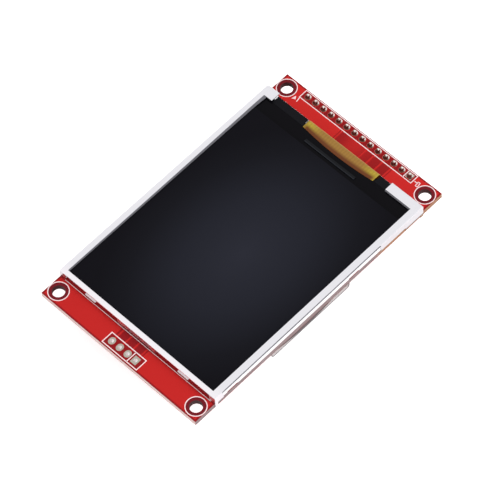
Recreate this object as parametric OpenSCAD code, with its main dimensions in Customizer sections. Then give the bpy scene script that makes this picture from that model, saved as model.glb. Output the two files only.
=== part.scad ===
// Colour TFT display module: an LCD panel in a folded steel bezel, taped to a
// red circuit board that carries a pin header, a memory card socket and its parts.
// +Z is out of the screen, +Y is the pin header end, +X is the card socket's mouth.
// The origin is the middle of the mounting holes, on the board's back face.

/* [Circuit board] */
// Width of the board, along X
board_w = 50.1; // [48:0.1:52]
// Length of the board, along Y
board_l = 82.3; // [81:0.1:90]
// Thickness of the board
board_t = 1.6; // [1.2:0.1:2]
// Diameter of the four mounting holes
mount_hole_d = 3.2; // [2.6:0.1:3.4]
// Mounting hole centre to the board's long edge
mount_edge_x = 2.67; // [2.3:0.01:3]
// Mounting hole centre to the board's short edge
mount_edge_y = 2.96; // [2.5:0.01:3.4]

/* [Pin header] */
// Number of pins in the header
pin_count = 14; // [10:1:14]
// Distance from pin to pin
pitch = 2.54; // [2.5:0.01:2.54]
// Middle of the header, along X
header_x = -0.25; // [-0.5:0.05:0.5]
// Pin centre to the board's far edge
header_edge = 1.5; // [1.3:0.05:1.7]
// Width of a square pin
pin_w = 0.64; // [0.5:0.01:0.66]
// Length of pin below the plastic strip
pin_below = 6; // [3:0.5:9]
// Length of pin above the board's front face
pin_above = 1.2; // [0.8:0.1:1.6]
// Length of the taper at each end of a pin
pin_taper = 0.3; // [0.1:0.1:0.5]
// Height of the plastic strip
header_h = 2.54; // [2:0.02:3]
// Width of the plastic strip
header_w = 2.5; // [2.2:0.1:2.5]
// Depth of the notches between the strip's cells
header_notch = 0.5; // [0.2:0.1:0.8]

/* [Plated holes] */
// Clear diameter of a plated hole
plated_hole_d = 1; // [0.95:0.01:1.1]
// Thickness of the plating in a hole
plating_t = 0.05; // [0.03:0.01:0.08]
// Width of a pad
pad_w = 1.7; // [1.5:0.1:1.8]
// How much longer than wide an oval pad is
pad_stretch = 0.3; // [0:0.1:0.4]
// Thickness of a pad
pad_t = 0.06; // [0.03:0.01:0.1]
// Height of a solder joint on the pins
solder_h = 0.8; // [0.5:0.1:1]
// Number of holes in the card header row
card_row_count = 4; // [2:1:6]
// Middle of the card header row, along X
card_row_x = 0; // [-2:0.5:2]
// Card header hole centre to the board's near edge
card_row_edge = 2.07; // [1.8:0.01:2.3]

/* [Panel outline] */
// Length of the panel, along Y
panel_l = 69.4; // [68.8:0.1:69.8]
// Middle of the panel, along Y
panel_y = -0.15; // [-0.3:0.05:0.3]
// Thickness of the bezel's steel sheet
sheet_t = 0.15; // [0.1:0.01:0.2]
// Gap between the bezel's lugs and the board's edge
lug_fit = 0.05; // [0.02:0.01:0.1]
// Outer radius of the bezel's bends
bend_r = 0.35; // [0.25:0.05:0.45]
// Width of the bezel's rim on the long sides
rim_side = 1.7; // [1.45:0.05:1.8]
// Width of the bezel's rim at the near end
rim_near = 1.25; // [1.2:0.05:1.5]
// Depth of the corner tabs at the far end
tab_depth = 2.55; // [2:0.05:3]
// Length of the far left corner tab
tab_left_l = 3.95; // [3:0.05:6]
// Length of the far right corner tab
tab_right_l = 9.65; // [6:0.05:11]

/* [Bezel flanges] */
// Height of the flange along the open stretches
lip_h = 0.4; // [0.36:0.02:0.8]
// Length of the full side flange at the near end
near_post_l = 2.75; // [2:0.05:4]
// Length of the full side flange at the far end
far_post_l = 14.35; // [12:0.05:16]
// Length of the skirt that laps the board's edge
skirt_l = 6.05; // [4:0.05:8]
// Depth of that skirt below the board's front face
skirt_drop = 0.8; // [0.4:0.1:1.1]
// Length of the feet at the four corners
foot_l = 0.9; // [0.6:0.1:1.5]
// Width of the near corner posts
post_w = 1.85; // [1.2:0.05:2.5]
// Length of the tab in the middle of the near side
near_tab_l = 12.2; // [8:0.1:16]
// Height of that tab
near_tab_h = 1.8; // [0.9:0.1:2]

/* [Backlight] */
// Clearance between nested display parts
fit = 0.05; // [0.03:0.01:0.06]
// Thickness of the frame's long walls
frame_wall = 0.95; // [0.8:0.05:1]
// Width of the shelf that carries the glass
shelf_w = 0.75; // [0.5:0.05:0.9]
// How far the near wall stands back under the bezel
near_recess = 0.8; // [0.6:0.05:0.85]
// Thickness of the near wall above the shelf
near_wall = 0.3; // [0.25:0.05:0.35]
// Thickness of the far wall
far_wall = 1.25; // [1:0.05:1.5]
// Height of the relief gaps and feet under the frame
relief_h = 0.3; // [0.2:0.05:0.34]
// Length of a relief gap or foot
relief_l = 3.3; // [2:0.1:4]
// Thickness of the foam tape under the panel
foam_t = 0.35; // [0.25:0.05:0.5]
// Width of a foam tape strip
foam_w = 8; // [4:0.5:10]
// Length of a foam tape strip
foam_l = 46; // [30:1:48]
// Foam tape to the frame's long edge
foam_inset = 3; // [1:0.5:4.5]
// Foam tape to the frame's near end
foam_near = 5; // [2:0.5:8]
// Thickness of the reflector sheet
reflector_t = 0.08; // [0.05:0.01:0.12]
// Thickness of the light guide
guide_t = 0.6; // [0.5:0.05:0.8]
// Thickness of each diffuser and prism film
film_t = 0.07; // [0.05:0.01:0.1]
// Air gap over the films
film_gap = 0.03; // [0.02:0.01:0.06]
// Number of backlight LEDs
led_count = 4; // [2:1:6]
// Length of the LED strip
led_span = 34; // [20:1:44]
// Length of one LED
led_l = 3; // [2:0.1:3.4]
// Depth of one LED
led_d = 1; // [0.8:0.1:1.2]
// Width of the LED strip
led_strip_w = 2.6; // [1.6:0.1:3]

/* [Glass] */
// Thickness of each glass
glass_t = 0.3; // [0.2:0.05:0.4]
// Thickness of each polarizer
polarizer_t = 0.12; // [0.08:0.01:0.18]
// Margin of bare glass round a polarizer
polarizer_margin = 0.3; // [0.1:0.05:0.35]
// Gap between the polarizer and the bezel's lip
lip_gap = 0.24; // [0.1:0.02:0.4]
// Length of the rear glass that stands out past the front glass
ledge_l = 4.6; // [4.2:0.1:5.4]
// Length of the driver chip
chip_l = 16; // [12:0.5:20]
// Width of the driver chip
chip_w = 0.8; // [0.7:0.1:1]
// Height of the driver chip
chip_h = 0.28; // [0.2:0.02:0.32]
// Front glass edge to the driver chip
chip_gap = 0.75; // [0.6:0.05:1.2]

/* [Flex] */
// Width of the flex
flex_w = 22.8; // [18:0.1:24]
// Middle of the flex, along X
flex_x = 0.3; // [-1:0.1:1]
// Thickness of the flex
flex_t = 0.12; // [0.08:0.01:0.16]
// How far the bond reaches in over the glass, at its middle
flex_bond = 2.6; // [2:0.05:2.8]
// How much the bond's edge bulges in its middle
flex_bulge = 1.25; // [0.6:0.05:1.5]
// Length of the flex folded under the panel
flex_under = 12; // [6:0.5:14]
// Number of solder bars on the flex's tail
flex_pad_count = 18; // [10:1:20]
// Thickness of the light shield tape
shield_t = 0.06; // [0.04:0.01:0.1]
// Depth of the light shield tape
shield_w = 2.2; // [1.6:0.05:2.25]
// Strip of the far wall left bare by the tape
shield_inset = 0.04; // [0:0.02:0.3]

/* [Card socket] */
// Width of the card socket, along Y
socket_w = 26; // [25.8:0.1:27.5]
// Depth of the card socket, along X
socket_l = 25.5; // [22:0.5:28]
// Height of the card socket
socket_h = 2.8; // [2.75:0.05:3.2]
// Middle of the card socket, along Y
socket_y = -2.9; // [-6:0.1:4]
// Mouth of the socket to the board's edge
socket_setback = 0.5; // [0:0.05:1]
// Front edge of the socket's base to the mouth
base_setback = 1.2; // [0.4:0.1:2]
// Thickness of the socket's steel shell
shell_t = 0.2; // [0.15:0.01:0.25]
// Outer radius of the shell's bends
shell_r = 0.9; // [0.5:0.05:1]
// Width of a memory card, with its clearance
card_w = 24.3; // [24.1:0.05:24.4]
// Height of the card slot
card_h = 2.2; // [2.15:0.01:2.25]
// Number of spring contacts
contact_count = 9; // [7:1:9]
// Distance from contact to contact
contact_pitch = 2.5; // [2.2:0.05:2.5]
// Width of a contact
contact_w = 0.7; // [0.5:0.05:0.9]
// Reach of a contact's spring arm into the socket
contact_arm = 8.2; // [6:0.1:8.5]
// Depth of the bump that touches the card
contact_bump = 1.15; // [1:0.05:1.3]
// Length of a contact's solder tail
contact_tail = 1.2; // [0.8:0.1:1.6]
// Diameter of the socket's locating pegs
peg_d = 1.4; // [1:0.1:1.8]

/* [Small parts] */
// Length of a small chip part
chip_part_l = 1.6; // [1.2:0.1:1.8]
// Width of a small chip part
chip_part_w = 0.8; // [0.6:0.1:1]
// Height of a chip resistor
resistor_h = 0.45; // [0.3:0.05:0.6]
// Height of a chip capacitor
capacitor_h = 0.8; // [0.5:0.05:1]
// Length of each tinned end
terminal_l = 0.3; // [0.2:0.05:0.4]
// Length of the regulator's body
regulator_l = 4.5; // [4:0.1:5]
// Width of the regulator's body
regulator_w = 2.5; // [2.2:0.1:2.8]
// Height of the regulator's body
regulator_h = 1.5; // [1.2:0.1:1.6]
// Length of the transistor's body
transistor_l = 2.9; // [2.6:0.1:3.1]
// Width of the transistor's body
transistor_w = 1.3; // [1.2:0.1:1.6]
// Height of the transistor's body
transistor_h = 1; // [0.8:0.05:1.2]

/* [Hidden] */
$fn = 48;
eps = 0.01;
far = 200;
PIN_NODES = [for (i = [1:pin_count]) str("header_pin_", i)];

// Rows of holes in the board
pin_y = board_l / 2 - header_edge;
card_row_y = -board_l / 2 + card_row_edge;
plated_wall_d = plated_hole_d + 2 * plating_t;
function pin_x(i) = header_x + (i - (pin_count + 1) / 2) * pitch;
function card_row_hole_x(i) = card_row_x + (i - (card_row_count + 1) / 2) * pitch;
pin_gap = 0.01;
solder_top_w = pin_w * sqrt(2) + 0.1;

// Levels of the display stack, from the board up
z_foam = board_t;
z_reflector = z_foam + foam_t;
z_guide = z_reflector + reflector_t;
z_diffuser = z_guide + guide_t;
z_prism_lower = z_diffuser + film_t;
z_prism_upper = z_prism_lower + film_t;
z_rear_polarizer = z_prism_upper + film_t + film_gap;
z_rear_glass = z_rear_polarizer + polarizer_t;
z_ledge = z_rear_glass + glass_t;
z_front_polarizer = z_ledge + glass_t;
z_lip = z_front_polarizer + polarizer_t + lip_gap;
z_top = z_lip + sheet_t;

// Outlines of the display stack
panel_w = board_w + 2 * (sheet_t + lug_fit);
near_y = panel_y - panel_l / 2;
far_y = panel_y + panel_l / 2;
window_x = panel_w / 2 - rim_side;
window_near_y = near_y + rim_near;
tab_y = far_y - tab_depth;
open_left_x = -panel_w / 2 + tab_left_l;
open_right_x = panel_w / 2 - tab_right_l;
frame_x = panel_w / 2 - sheet_t - fit;
frame_far_y = far_y - sheet_t - fit;
frame_corner_y = near_y + sheet_t + fit;
frame_near_y = near_y + near_recess;
pocket_x = frame_x - frame_wall;
pocket_near_y = frame_near_y + near_wall;
pocket_far_y = frame_far_y - far_wall;
guide_pocket_x = pocket_x - shelf_w;
guide_pocket_near_y = pocket_near_y + shelf_w * 2 / 3;
guide_pocket_far_y = pocket_far_y - shelf_w;
glass_near_y = pocket_near_y + fit;
glass_far_y = pocket_far_y - fit;
front_glass_far_y = glass_far_y - ledge_l;
guide_far_y = front_glass_far_y + fit;

// The flex: flat on the ledge, a half turn at the far edge, flat on the board
flex_z = z_ledge + flex_t;
flex_bend_r = (flex_z - board_t) / 2;
flex_bend_y = frame_far_y - flex_bend_r;
flex_bulge_r = (pow(flex_w / 2, 2) + pow(flex_bulge, 2)) / (2 * flex_bulge);
flex_slot_gap = 0.25;
flex_left_x = flex_x - flex_w / 2;
flex_right_x = flex_x + flex_w / 2;
flex_tail_y = flex_bend_y - flex_under;

// The card socket, below the board
mouth_x = board_w / 2 - socket_setback;
rear_x = mouth_x - socket_l;
floor_t = socket_h - shell_t - card_h;
rear_wall_t = 2.5;
contact_t = 0.15;
contact_slot = contact_w + 0.2;
peg_fit = 0.05;
peg_x = rear_x + 12;
peg_y = [socket_y - 9.5, socket_y + 9.5];
function contact_y(i) = socket_y + (i - (contact_count + 1) / 2) * contact_pitch;

// Places of the small parts on the back: x, y, and 90 for a part that lies along Y
part_step = chip_part_l + 1.4;
header_side_y = board_l / 2 - 9.5;
power_x = -board_w / 2 + 11;
power_y = board_l / 2 - 21;
RESISTORS = concat(
    [for (i = [-2:2]) [rear_x - 6, socket_y + i * part_step, 0]],
    [for (i = [0:3]) [power_x + 1 + i * part_step, header_side_y, 90]]);
CAPACITORS = [[power_x - regulator_l - 0.5, power_y, 90], [power_x + regulator_l + 0.5, power_y, 90],
    [power_x, power_y - regulator_w - 2, 0], [power_x + 19, header_side_y, 90]];
regulator_at = [power_x, power_y];
transistor_at = [power_x, -board_l / 2 + 15];
lead_t = 0.15;

// ---- shared shapes -------------------------------------------------------------

// A box from one corner to the other
module box(low, high) {
    translate(low) cube(high - low);
}

// A rectangle in plan from corner to corner, raised from z0 to z1
module slab(x0, x1, y0, y1, z0, z1) {
    box([x0, y0, z0], [x1, y1, z1]);
}

// A rectangle w wide and h high on the axis, with its two upper corners rounded
module tray_profile(w, h, r) {
    translate([-w / 2, 0]) square([w, h - r]);
    translate([-w / 2 + r, 0]) square([w - 2 * r, h]);
    for (side = [-1, 1]) translate([side * (w / 2 - r), h - r]) circle(r);
}

// A tray turned over: its upper edges are rounded by r on all four sides
module tray(w, l, y_mid, z0, h, r) {
    intersection() {
        translate([0, y_mid + l / 2, z0]) rotate([90, 0, 0]) linear_extrude(l) tray_profile(w, h, r);
        translate([-w / 2, y_mid, z0]) rotate([90, 0, 90]) linear_extrude(w) tray_profile(l, h, r);
    }
}

// ---- circuit board ---------------------------------------------------------------

module mount_holes() {
    for (sx = [-1, 1], sy = [-1, 1])
        translate([sx * (board_w / 2 - mount_edge_x), sy * (board_l / 2 - mount_edge_y), -eps])
            cylinder(d = mount_hole_d, h = board_t + 2 * eps);
}

module circuit_board() {
    color([0.80, 0.16, 0.15]) difference() {
        slab(-board_w / 2, board_w / 2, -board_l / 2, board_l / 2, 0, board_t);
        mount_holes();
        for (i = [1:pin_count]) translate([pin_x(i), pin_y, -eps])
            cylinder(d = plated_wall_d, h = board_t + 2 * eps, $fn = 32);
        for (i = [1:card_row_count]) translate([card_row_hole_x(i), card_row_y, -eps])
            cylinder(d = plated_wall_d, h = board_t + 2 * eps, $fn = 32);
        for (y = peg_y) translate([peg_x, y, -eps])
            cylinder(d = peg_d + 2 * peg_fit, h = board_t + 2 * eps, $fn = 32);
    }
}

// The outline of a pad: square on pin 1, round or oval on the others
module pad_outline(first, stretch) {
    if (first) square([pad_w, pad_w + stretch], center = true);
    else {
        for (side = [-1, 1]) translate([0, side * stretch / 2]) circle(d = pad_w);
        if (stretch > 0) square([pad_w, stretch], center = true);
    }
}

// A tinned hole: the plated wall and a pad on each face
module plated_hole(first, stretch) {
    difference() {
        union() {
            cylinder(d = plated_wall_d, h = board_t, $fn = 32);
            for (z = [-pad_t, board_t]) translate([0, 0, z])
                linear_extrude(pad_t) pad_outline(first, stretch);
        }
        translate([0, 0, -1]) cylinder(d = plated_hole_d, h = board_t + 2, $fn = 32);
    }
}

module plated_holes() {
    color([0.78, 0.77, 0.72]) {
        for (i = [1:pin_count]) translate([pin_x(i), pin_y, 0]) plated_hole(i == pin_count, 0);
        for (i = [1:card_row_count]) translate([card_row_hole_x(i), card_row_y, 0])
            plated_hole(i == card_row_count, pad_stretch);
    }
}

// ---- pin header ------------------------------------------------------------------

// The strip's outline in plan: one cell with cut corners for each pin
module header_outline() {
    for (i = [1:pin_count]) translate([pin_x(i), pin_y]) polygon([
        [-pitch / 2, -header_w / 2 + header_notch], [-pitch / 2 + header_notch, -header_w / 2],
        [pitch / 2 - header_notch, -header_w / 2], [pitch / 2, -header_w / 2 + header_notch],
        [pitch / 2, header_w / 2 - header_notch], [pitch / 2 - header_notch, header_w / 2],
        [-pitch / 2 + header_notch, header_w / 2], [-pitch / 2, header_w / 2 - header_notch]]);
}

module header_housing() {
    hole = pin_w + 2 * pin_gap;
    color([0.09, 0.09, 0.10]) translate([0, 0, -pad_t - header_h]) linear_extrude(header_h)
        difference() {
            header_outline();
            for (i = [1:pin_count]) translate([pin_x(i), pin_y]) square(hole, center = true);
        }
}

// A pin's side view: square bar with a short taper at each end
module pin_profile() {
    low = -pad_t - header_h - pin_below;
    high = board_t + pin_above;
    half = pin_w / 2;
    tip = half / 2;
    polygon([[-tip, low], [tip, low], [half, low + pin_taper], [half, high - pin_taper],
        [tip, high], [-tip, high], [-half, high - pin_taper], [-half, low + pin_taper]]);
}

module header_pin(i) {
    color([0.83, 0.73, 0.45]) translate([pin_x(i), pin_y, 0]) intersection() {
        translate([0, pin_w / 2, 0]) rotate([90, 0, 0]) linear_extrude(pin_w) pin_profile();
        translate([-pin_w / 2, 0, 0]) rotate([90, 0, 90]) linear_extrude(pin_w) pin_profile();
    }
}

// A solder fillet: wide on the pad, drawn up the pin in a hollow curve
module solder_fillet() {
    steps = 6;
    foot_r = pad_w / 2 - 0.03;
    top_r = solder_top_w / 2;
    difference() {
        rotate_extrude($fn = 32) polygon(concat([[0, 0]],
            [for (k = [0:steps]) let (t = k / steps)
                [foot_r + (top_r - foot_r) * sin(90 * t), solder_h * (1 - cos(90 * t))]],
            [[0, solder_h]]));
        hole = pin_w + 2 * pin_gap;
        translate([-hole / 2, -hole / 2, -eps]) cube([hole, hole, solder_h + 2 * eps]);
    }
}

module solder_joints() {
    color([0.72, 0.72, 0.72]) for (i = [1:pin_count])
        translate([pin_x(i), pin_y, board_t + pad_t]) solder_fillet();
}

// ---- card socket -------------------------------------------------------------------

// The socket's end view, hanging from the board: w wide, h deep, lower corners rounded
module socket_profile(w, h, r) {
    mirror([0, 1]) tray_profile(w, h, r);
}

module socket_extrude(x0, x1) {
    translate([x0, socket_y, 0]) rotate([90, 0, 90]) linear_extrude(x1 - x0) children();
}

// A folded steel cover: two sides and a back, with leaf springs cut in the back
module card_socket_shell() {
    inner_w = socket_w - 2 * shell_t;
    spring_l = 9;
    spring_w = 2.2;
    slit = 0.6;
    lug = 1.2;
    lug_w = 2;
    color([0.78, 0.78, 0.80]) {
        difference() {
            socket_extrude(rear_x, mouth_x) socket_profile(socket_w, socket_h, shell_r);
            socket_extrude(rear_x - 1, mouth_x + 1)
                socket_profile(inner_w, socket_h - shell_t, shell_r - shell_t);
            // two leaf springs, each freed by a slit on three sides
            for (side = [-1, 1]) translate([rear_x + 7, socket_y + side * 6.5, -socket_h - eps])
                difference() {
                    translate([0, -spring_w / 2 - slit, 0])
                        cube([spring_l + slit, spring_w + 2 * slit, shell_t + 2 * eps]);
                    translate([-eps, -spring_w / 2, -eps])
                        cube([spring_l + eps, spring_w, shell_t + 4 * eps]);
                }
        }
        // solder lugs, bent out flat on the board
        for (side = [-1, 1], x = [rear_x + 3, mouth_x - 5])
            slab(x, x + lug_w, socket_y + (side > 0 ? socket_w / 2 - shell_t : -socket_w / 2 - lug),
                socket_y + (side > 0 ? socket_w / 2 + lug : -socket_w / 2 + shell_t), -shell_t, 0);
    }
}

// The moulded base: floor, side rails and rear wall, slotted for the contacts
module card_socket_base() {
    inner_w = socket_w - 2 * shell_t - 2 * fit;
    wall_h = socket_h - shell_t - fit;
    slot_l = 9;
    color([0.10, 0.10, 0.11]) {
        difference() {
            socket_extrude(rear_x + fit, mouth_x - base_setback)
                socket_profile(inner_w, wall_h, shell_r - shell_t);
            slab(rear_x + rear_wall_t, far, socket_y - card_w / 2, socket_y + card_w / 2, -far, -floor_t);
            for (i = [1:contact_count])
                slab(rear_x - 1, rear_x + slot_l, contact_y(i) - contact_slot / 2,
                    contact_y(i) + contact_slot / 2, -1.5, 1);
            // the hollow that lets a finger push the card home
            translate([mouth_x + 4, socket_y, -1]) cylinder(r = 9, h = 2, $fn = 64);
        }
        for (y = peg_y) translate([peg_x, y, -eps]) cylinder(d = peg_d, h = board_t * 0.75, $fn = 32);
    }
}

// A contact's side view: solder tail, step up through the wall, spring arm with a bump
module contact_profile() {
    t = contact_t;
    step = contact_bump * 0.48;
    rise = contact_bump * 0.65;
    a = contact_arm;
    polygon([[-contact_tail, 0], [0.075 * a, 0], [0.15 * a, -step], [0.61 * a, -rise],
        [0.8 * a, -contact_bump], [0.93 * a, -rise], [a, -rise], [a, -rise - t],
        [0.94 * a, -rise - t], [0.815 * a, -contact_bump - t], [0.79 * a, -contact_bump - t],
        [0.61 * a, -rise - t], [0.135 * a, -step - t], [0.06 * a, -t], [-contact_tail, -t]]);
}

module card_contacts() {
    color([0.85, 0.74, 0.42]) for (i = [1:contact_count])
        translate([rear_x, contact_y(i) + contact_w / 2, 0]) rotate([90, 0, 0])
            linear_extrude(contact_w) contact_profile();
}

// ---- small parts on the back --------------------------------------------------------

module place(at) {
    translate([at[0], at[1], 0]) rotate([0, 0, at[2]]) children();
}

module chip_body(h) {
    bare = chip_part_l - 2 * terminal_l;
    translate([-bare / 2, -chip_part_w / 2, -h]) cube([bare, chip_part_w, h]);
}

module chip_ends(h) {
    for (x = [-chip_part_l / 2, chip_part_l / 2 - terminal_l])
        translate([x, -chip_part_w / 2, -h]) cube([terminal_l, chip_part_w, h]);
}

module chip_resistors() {
    color([0.12, 0.12, 0.13]) for (at = RESISTORS) place(at) chip_body(resistor_h);
}

module chip_capacitors() {
    color([0.70, 0.56, 0.40]) for (at = CAPACITORS) place(at) chip_body(capacitor_h);
}

module chip_terminals() {
    color([0.80, 0.80, 0.80]) {
        for (at = RESISTORS) place(at) chip_ends(resistor_h);
        for (at = CAPACITORS) place(at) chip_ends(capacitor_h);
    }
}

// A moulded body with drafted sides, standing lead_t off the board
module moulded_body(l, w, h) {
    draft = 0.12;
    translate([0, w / 2, 0]) rotate([90, 0, 0]) linear_extrude(w) polygon([
        [-l / 2 + draft, -lead_t], [l / 2 - draft, -lead_t], [l / 2, -h / 2],
        [l / 2 - draft, -h], [-l / 2 + draft, -h], [-l / 2, -h / 2]]);
}

module regulator_body() {
    color([0.13, 0.13, 0.14]) translate([regulator_at[0], regulator_at[1], 0])
        moulded_body(regulator_l, regulator_w, regulator_h);
}

// Three flat leads on one side and the heat tab on the other
module regulator_leads() {
    lead = 1.1;
    color([0.80, 0.80, 0.78]) translate([regulator_at[0], regulator_at[1], 0]) {
        for (x = [-1.5, 0, 1.5])
            slab(x - 0.22, x + 0.22, -regulator_w / 2 - lead, -regulator_w / 2 + 0.3, -lead_t, 0);
        slab(-0.85, 0.85, -regulator_w / 2 + 0.3, regulator_w / 2 + 0.6, -lead_t, 0);
    }
}

module transistor_body() {
    color([0.13, 0.13, 0.14]) translate([transistor_at[0], transistor_at[1], 0])
        moulded_body(transistor_l, transistor_w, transistor_h);
}

// Bent leads, two on one side and one on the other
module transistor_leads() {
    lead = 0.55;
    half = transistor_w / 2;
    color([0.80, 0.80, 0.78]) translate([transistor_at[0], transistor_at[1], 0]) {
        for (x = [-0.95, 0.95])
            slab(x - 0.2, x + 0.2, -half - lead, -half + 0.2, -lead_t, 0);
        slab(-0.2, 0.2, half - 0.2, half + lead, -lead_t, 0);
    }
}

// ---- backlight -------------------------------------------------------------------------

// A sheet that fills the light guide's pocket from z, t thick
module pocket_sheet(z, t, y_far) {
    slab(-guide_pocket_x + fit, guide_pocket_x - fit, guide_pocket_near_y + fit, y_far, z, z + t);
}

// A strip of foam along one long side of the panel
module foam_tape(x0) {
    y0 = frame_near_y + foam_near;
    color([0.92, 0.92, 0.90]) slab(x0, x0 + foam_w, y0, y0 + foam_l, z_foam, z_reflector);
}

module foam_tape_left() {
    foam_tape(-frame_x + foam_inset);
}

module foam_tape_right() {
    foam_tape(frame_x - foam_inset - foam_w);
}

module reflector_sheet() {
    color([0.90, 0.91, 0.93]) pocket_sheet(z_reflector, reflector_t, guide_far_y);
}

module light_guide() {
    color([0.88, 0.93, 0.95]) pocket_sheet(z_guide, guide_t, guide_far_y);
}

module diffuser_sheet() {
    color([0.95, 0.95, 0.95]) pocket_sheet(z_diffuser, film_t, guide_far_y);
}

module prism_sheet_lower() {
    color([0.86, 0.88, 0.90]) pocket_sheet(z_prism_lower, film_t, guide_far_y);
}

module prism_sheet_upper() {
    color([0.82, 0.85, 0.88]) pocket_sheet(z_prism_upper, film_t, guide_far_y);
}

module led_strip() {
    y0 = guide_far_y + fit;
    color([0.80, 0.62, 0.20]) slab(-led_span / 2, led_span / 2, y0, y0 + led_strip_w,
        z_guide - reflector_t, z_guide);
}

module backlight_leds() {
    y0 = guide_far_y + fit;
    step = led_span / led_count;
    color([0.97, 0.93, 0.70]) for (i = [1:led_count])
        let (x = (i - (led_count + 1) / 2) * step)
            slab(x - led_l / 2, x + led_l / 2, y0, y0 + led_d, z_guide, z_guide + guide_t);
}

// The white moulded frame: walls round the glass, a shelf under it, open at the back
module backlight_frame() {
    flex_low_x = flex_left_x - flex_slot_gap;
    flex_high_x = flex_right_x + flex_slot_gap;
    reliefs = [panel_y - 28.9, panel_y + 11.3];
    foot_at = [-15.5, 14.6];
    color([0.95, 0.95, 0.94]) {
        difference() {
            union() {
                slab(-frame_x, frame_x, frame_near_y, frame_far_y, board_t, z_lip);
                for (side = [-1, 1])
                    slab(side > 0 ? window_x : -frame_x, side > 0 ? frame_x : -window_x,
                        frame_corner_y, frame_near_y + 1, board_t, z_lip);
            }
            // pocket for the light guide and its films, right through
            slab(-guide_pocket_x, guide_pocket_x, guide_pocket_near_y, guide_pocket_far_y, 0, far);
            // pocket for the glass, above the shelf
            slab(-pocket_x, pocket_x, pocket_near_y, pocket_far_y, z_rear_glass, far);
            // the far wall is low between the bezel's tabs
            slab(open_left_x - fit, open_right_x + fit, pocket_far_y - 1, far, z_ledge, far);
            // slot for the flex
            slab(flex_low_x, flex_high_x, guide_pocket_far_y - 1, far, 0, far);
            // rounded outer edges, to clear the inside of the bezel's bends
            frame_edge_cut();
            // relief gaps under the long walls
            for (y = reliefs) slab(-far, far, y - relief_l / 2, y + relief_l / 2, 0, board_t + relief_h);
        }
        // feet under the near edge
        for (x = foot_at) slab(x - relief_l / 2, x + relief_l / 2, near_y + sheet_t + fit,
            frame_near_y + eps, board_t, board_t + relief_h);
    }
}

// What lies outside the bezel's inner surface, less the clearance
module frame_edge_cut() {
    w = 2 * frame_x;
    l = frame_far_y - frame_corner_y;
    y_mid = (frame_far_y + frame_corner_y) / 2;
    difference() {
        slab(-far, far, -far, far, z_lip - bend_r, far);
        tray(w, l, y_mid, 0, z_lip, bend_r - sheet_t);
    }
}

// ---- glass -------------------------------------------------------------------------------

module rear_polarizer() {
    color([0.25, 0.26, 0.28]) slab(-guide_pocket_x + 2 * fit, guide_pocket_x - 2 * fit,
        guide_pocket_near_y + 2 * fit, front_glass_far_y, z_rear_polarizer, z_rear_glass);
}

module rear_glass() {
    color([0.12, 0.13, 0.16]) slab(-pocket_x + fit, pocket_x - fit, glass_near_y, glass_far_y,
        z_rear_glass, z_ledge);
}

module front_glass() {
    color([0.12, 0.13, 0.16]) slab(-pocket_x + fit, pocket_x - fit, glass_near_y, front_glass_far_y,
        z_ledge, z_front_polarizer);
}

module front_polarizer() {
    m = polarizer_margin;
    color([0.10, 0.10, 0.13]) slab(-pocket_x + fit + m, pocket_x - fit - m, glass_near_y + m,
        front_glass_far_y - m, z_front_polarizer, z_front_polarizer + polarizer_t);
}

module driver_chip() {
    y0 = front_glass_far_y + chip_gap;
    color([0.20, 0.21, 0.23]) slab(-chip_l / 2, chip_l / 2, y0, y0 + chip_w, z_ledge, z_ledge + chip_h);
}

// ---- flex and tapes -----------------------------------------------------------------------

// Polyimide flex: bonded to the ledge with a bulging edge, bent round, laid on the board
module display_flex() {
    bond_y = glass_far_y - flex_bond;
    color([0.72, 0.62, 0.28]) intersection() {
        translate([flex_left_x, 0, 0]) rotate([90, 0, 90]) linear_extrude(flex_w) {
            translate([bond_y - 1, z_ledge]) square([flex_bend_y - bond_y + 1, flex_t]);
            translate([flex_tail_y, board_t]) square([flex_bend_y - flex_tail_y, flex_t]);
            difference() {
                translate([flex_bend_y, board_t + flex_bend_r]) circle(flex_bend_r, $fn = 64);
                translate([flex_bend_y, board_t + flex_bend_r]) circle(flex_bend_r - flex_t, $fn = 64);
                translate([flex_bend_y - 2 * flex_bend_r, board_t - eps])
                    square([2 * flex_bend_r, 2 * flex_bend_r + 2 * eps]);
            }
        }
        union() {
            slab(-far, far, -far, far, 0, z_ledge - eps);
            translate([flex_x, bond_y + flex_bulge_r, 0]) cylinder(r = flex_bulge_r, h = far, $fn = 256);
        }
    }
}

// Solder bars that join the flex's tail to the board
module flex_solder() {
    bar_w = 0.5;
    bar_l = 1.2;
    step = (flex_w - 2) / (flex_pad_count - 1);
    color([0.75, 0.75, 0.75]) for (i = [0:flex_pad_count - 1])
        let (x = flex_left_x + 1 + i * step)
            slab(x - bar_w / 2, x + bar_w / 2, flex_tail_y - bar_l, flex_tail_y, board_t, board_t + flex_t);
}

module shield_tape(x0, x1) {
    y1 = frame_far_y - shield_inset;
    color([0.05, 0.05, 0.06]) slab(x0, x1, y1 - shield_w, y1, z_ledge, z_ledge + shield_t);
}

module shield_tape_left() {
    shield_tape(open_left_x + fit, flex_left_x - flex_slot_gap);
}

module shield_tape_right() {
    shield_tape(flex_right_x + flex_slot_gap, open_right_x - fit);
}

// ---- bezel ----------------------------------------------------------------------------------

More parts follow.
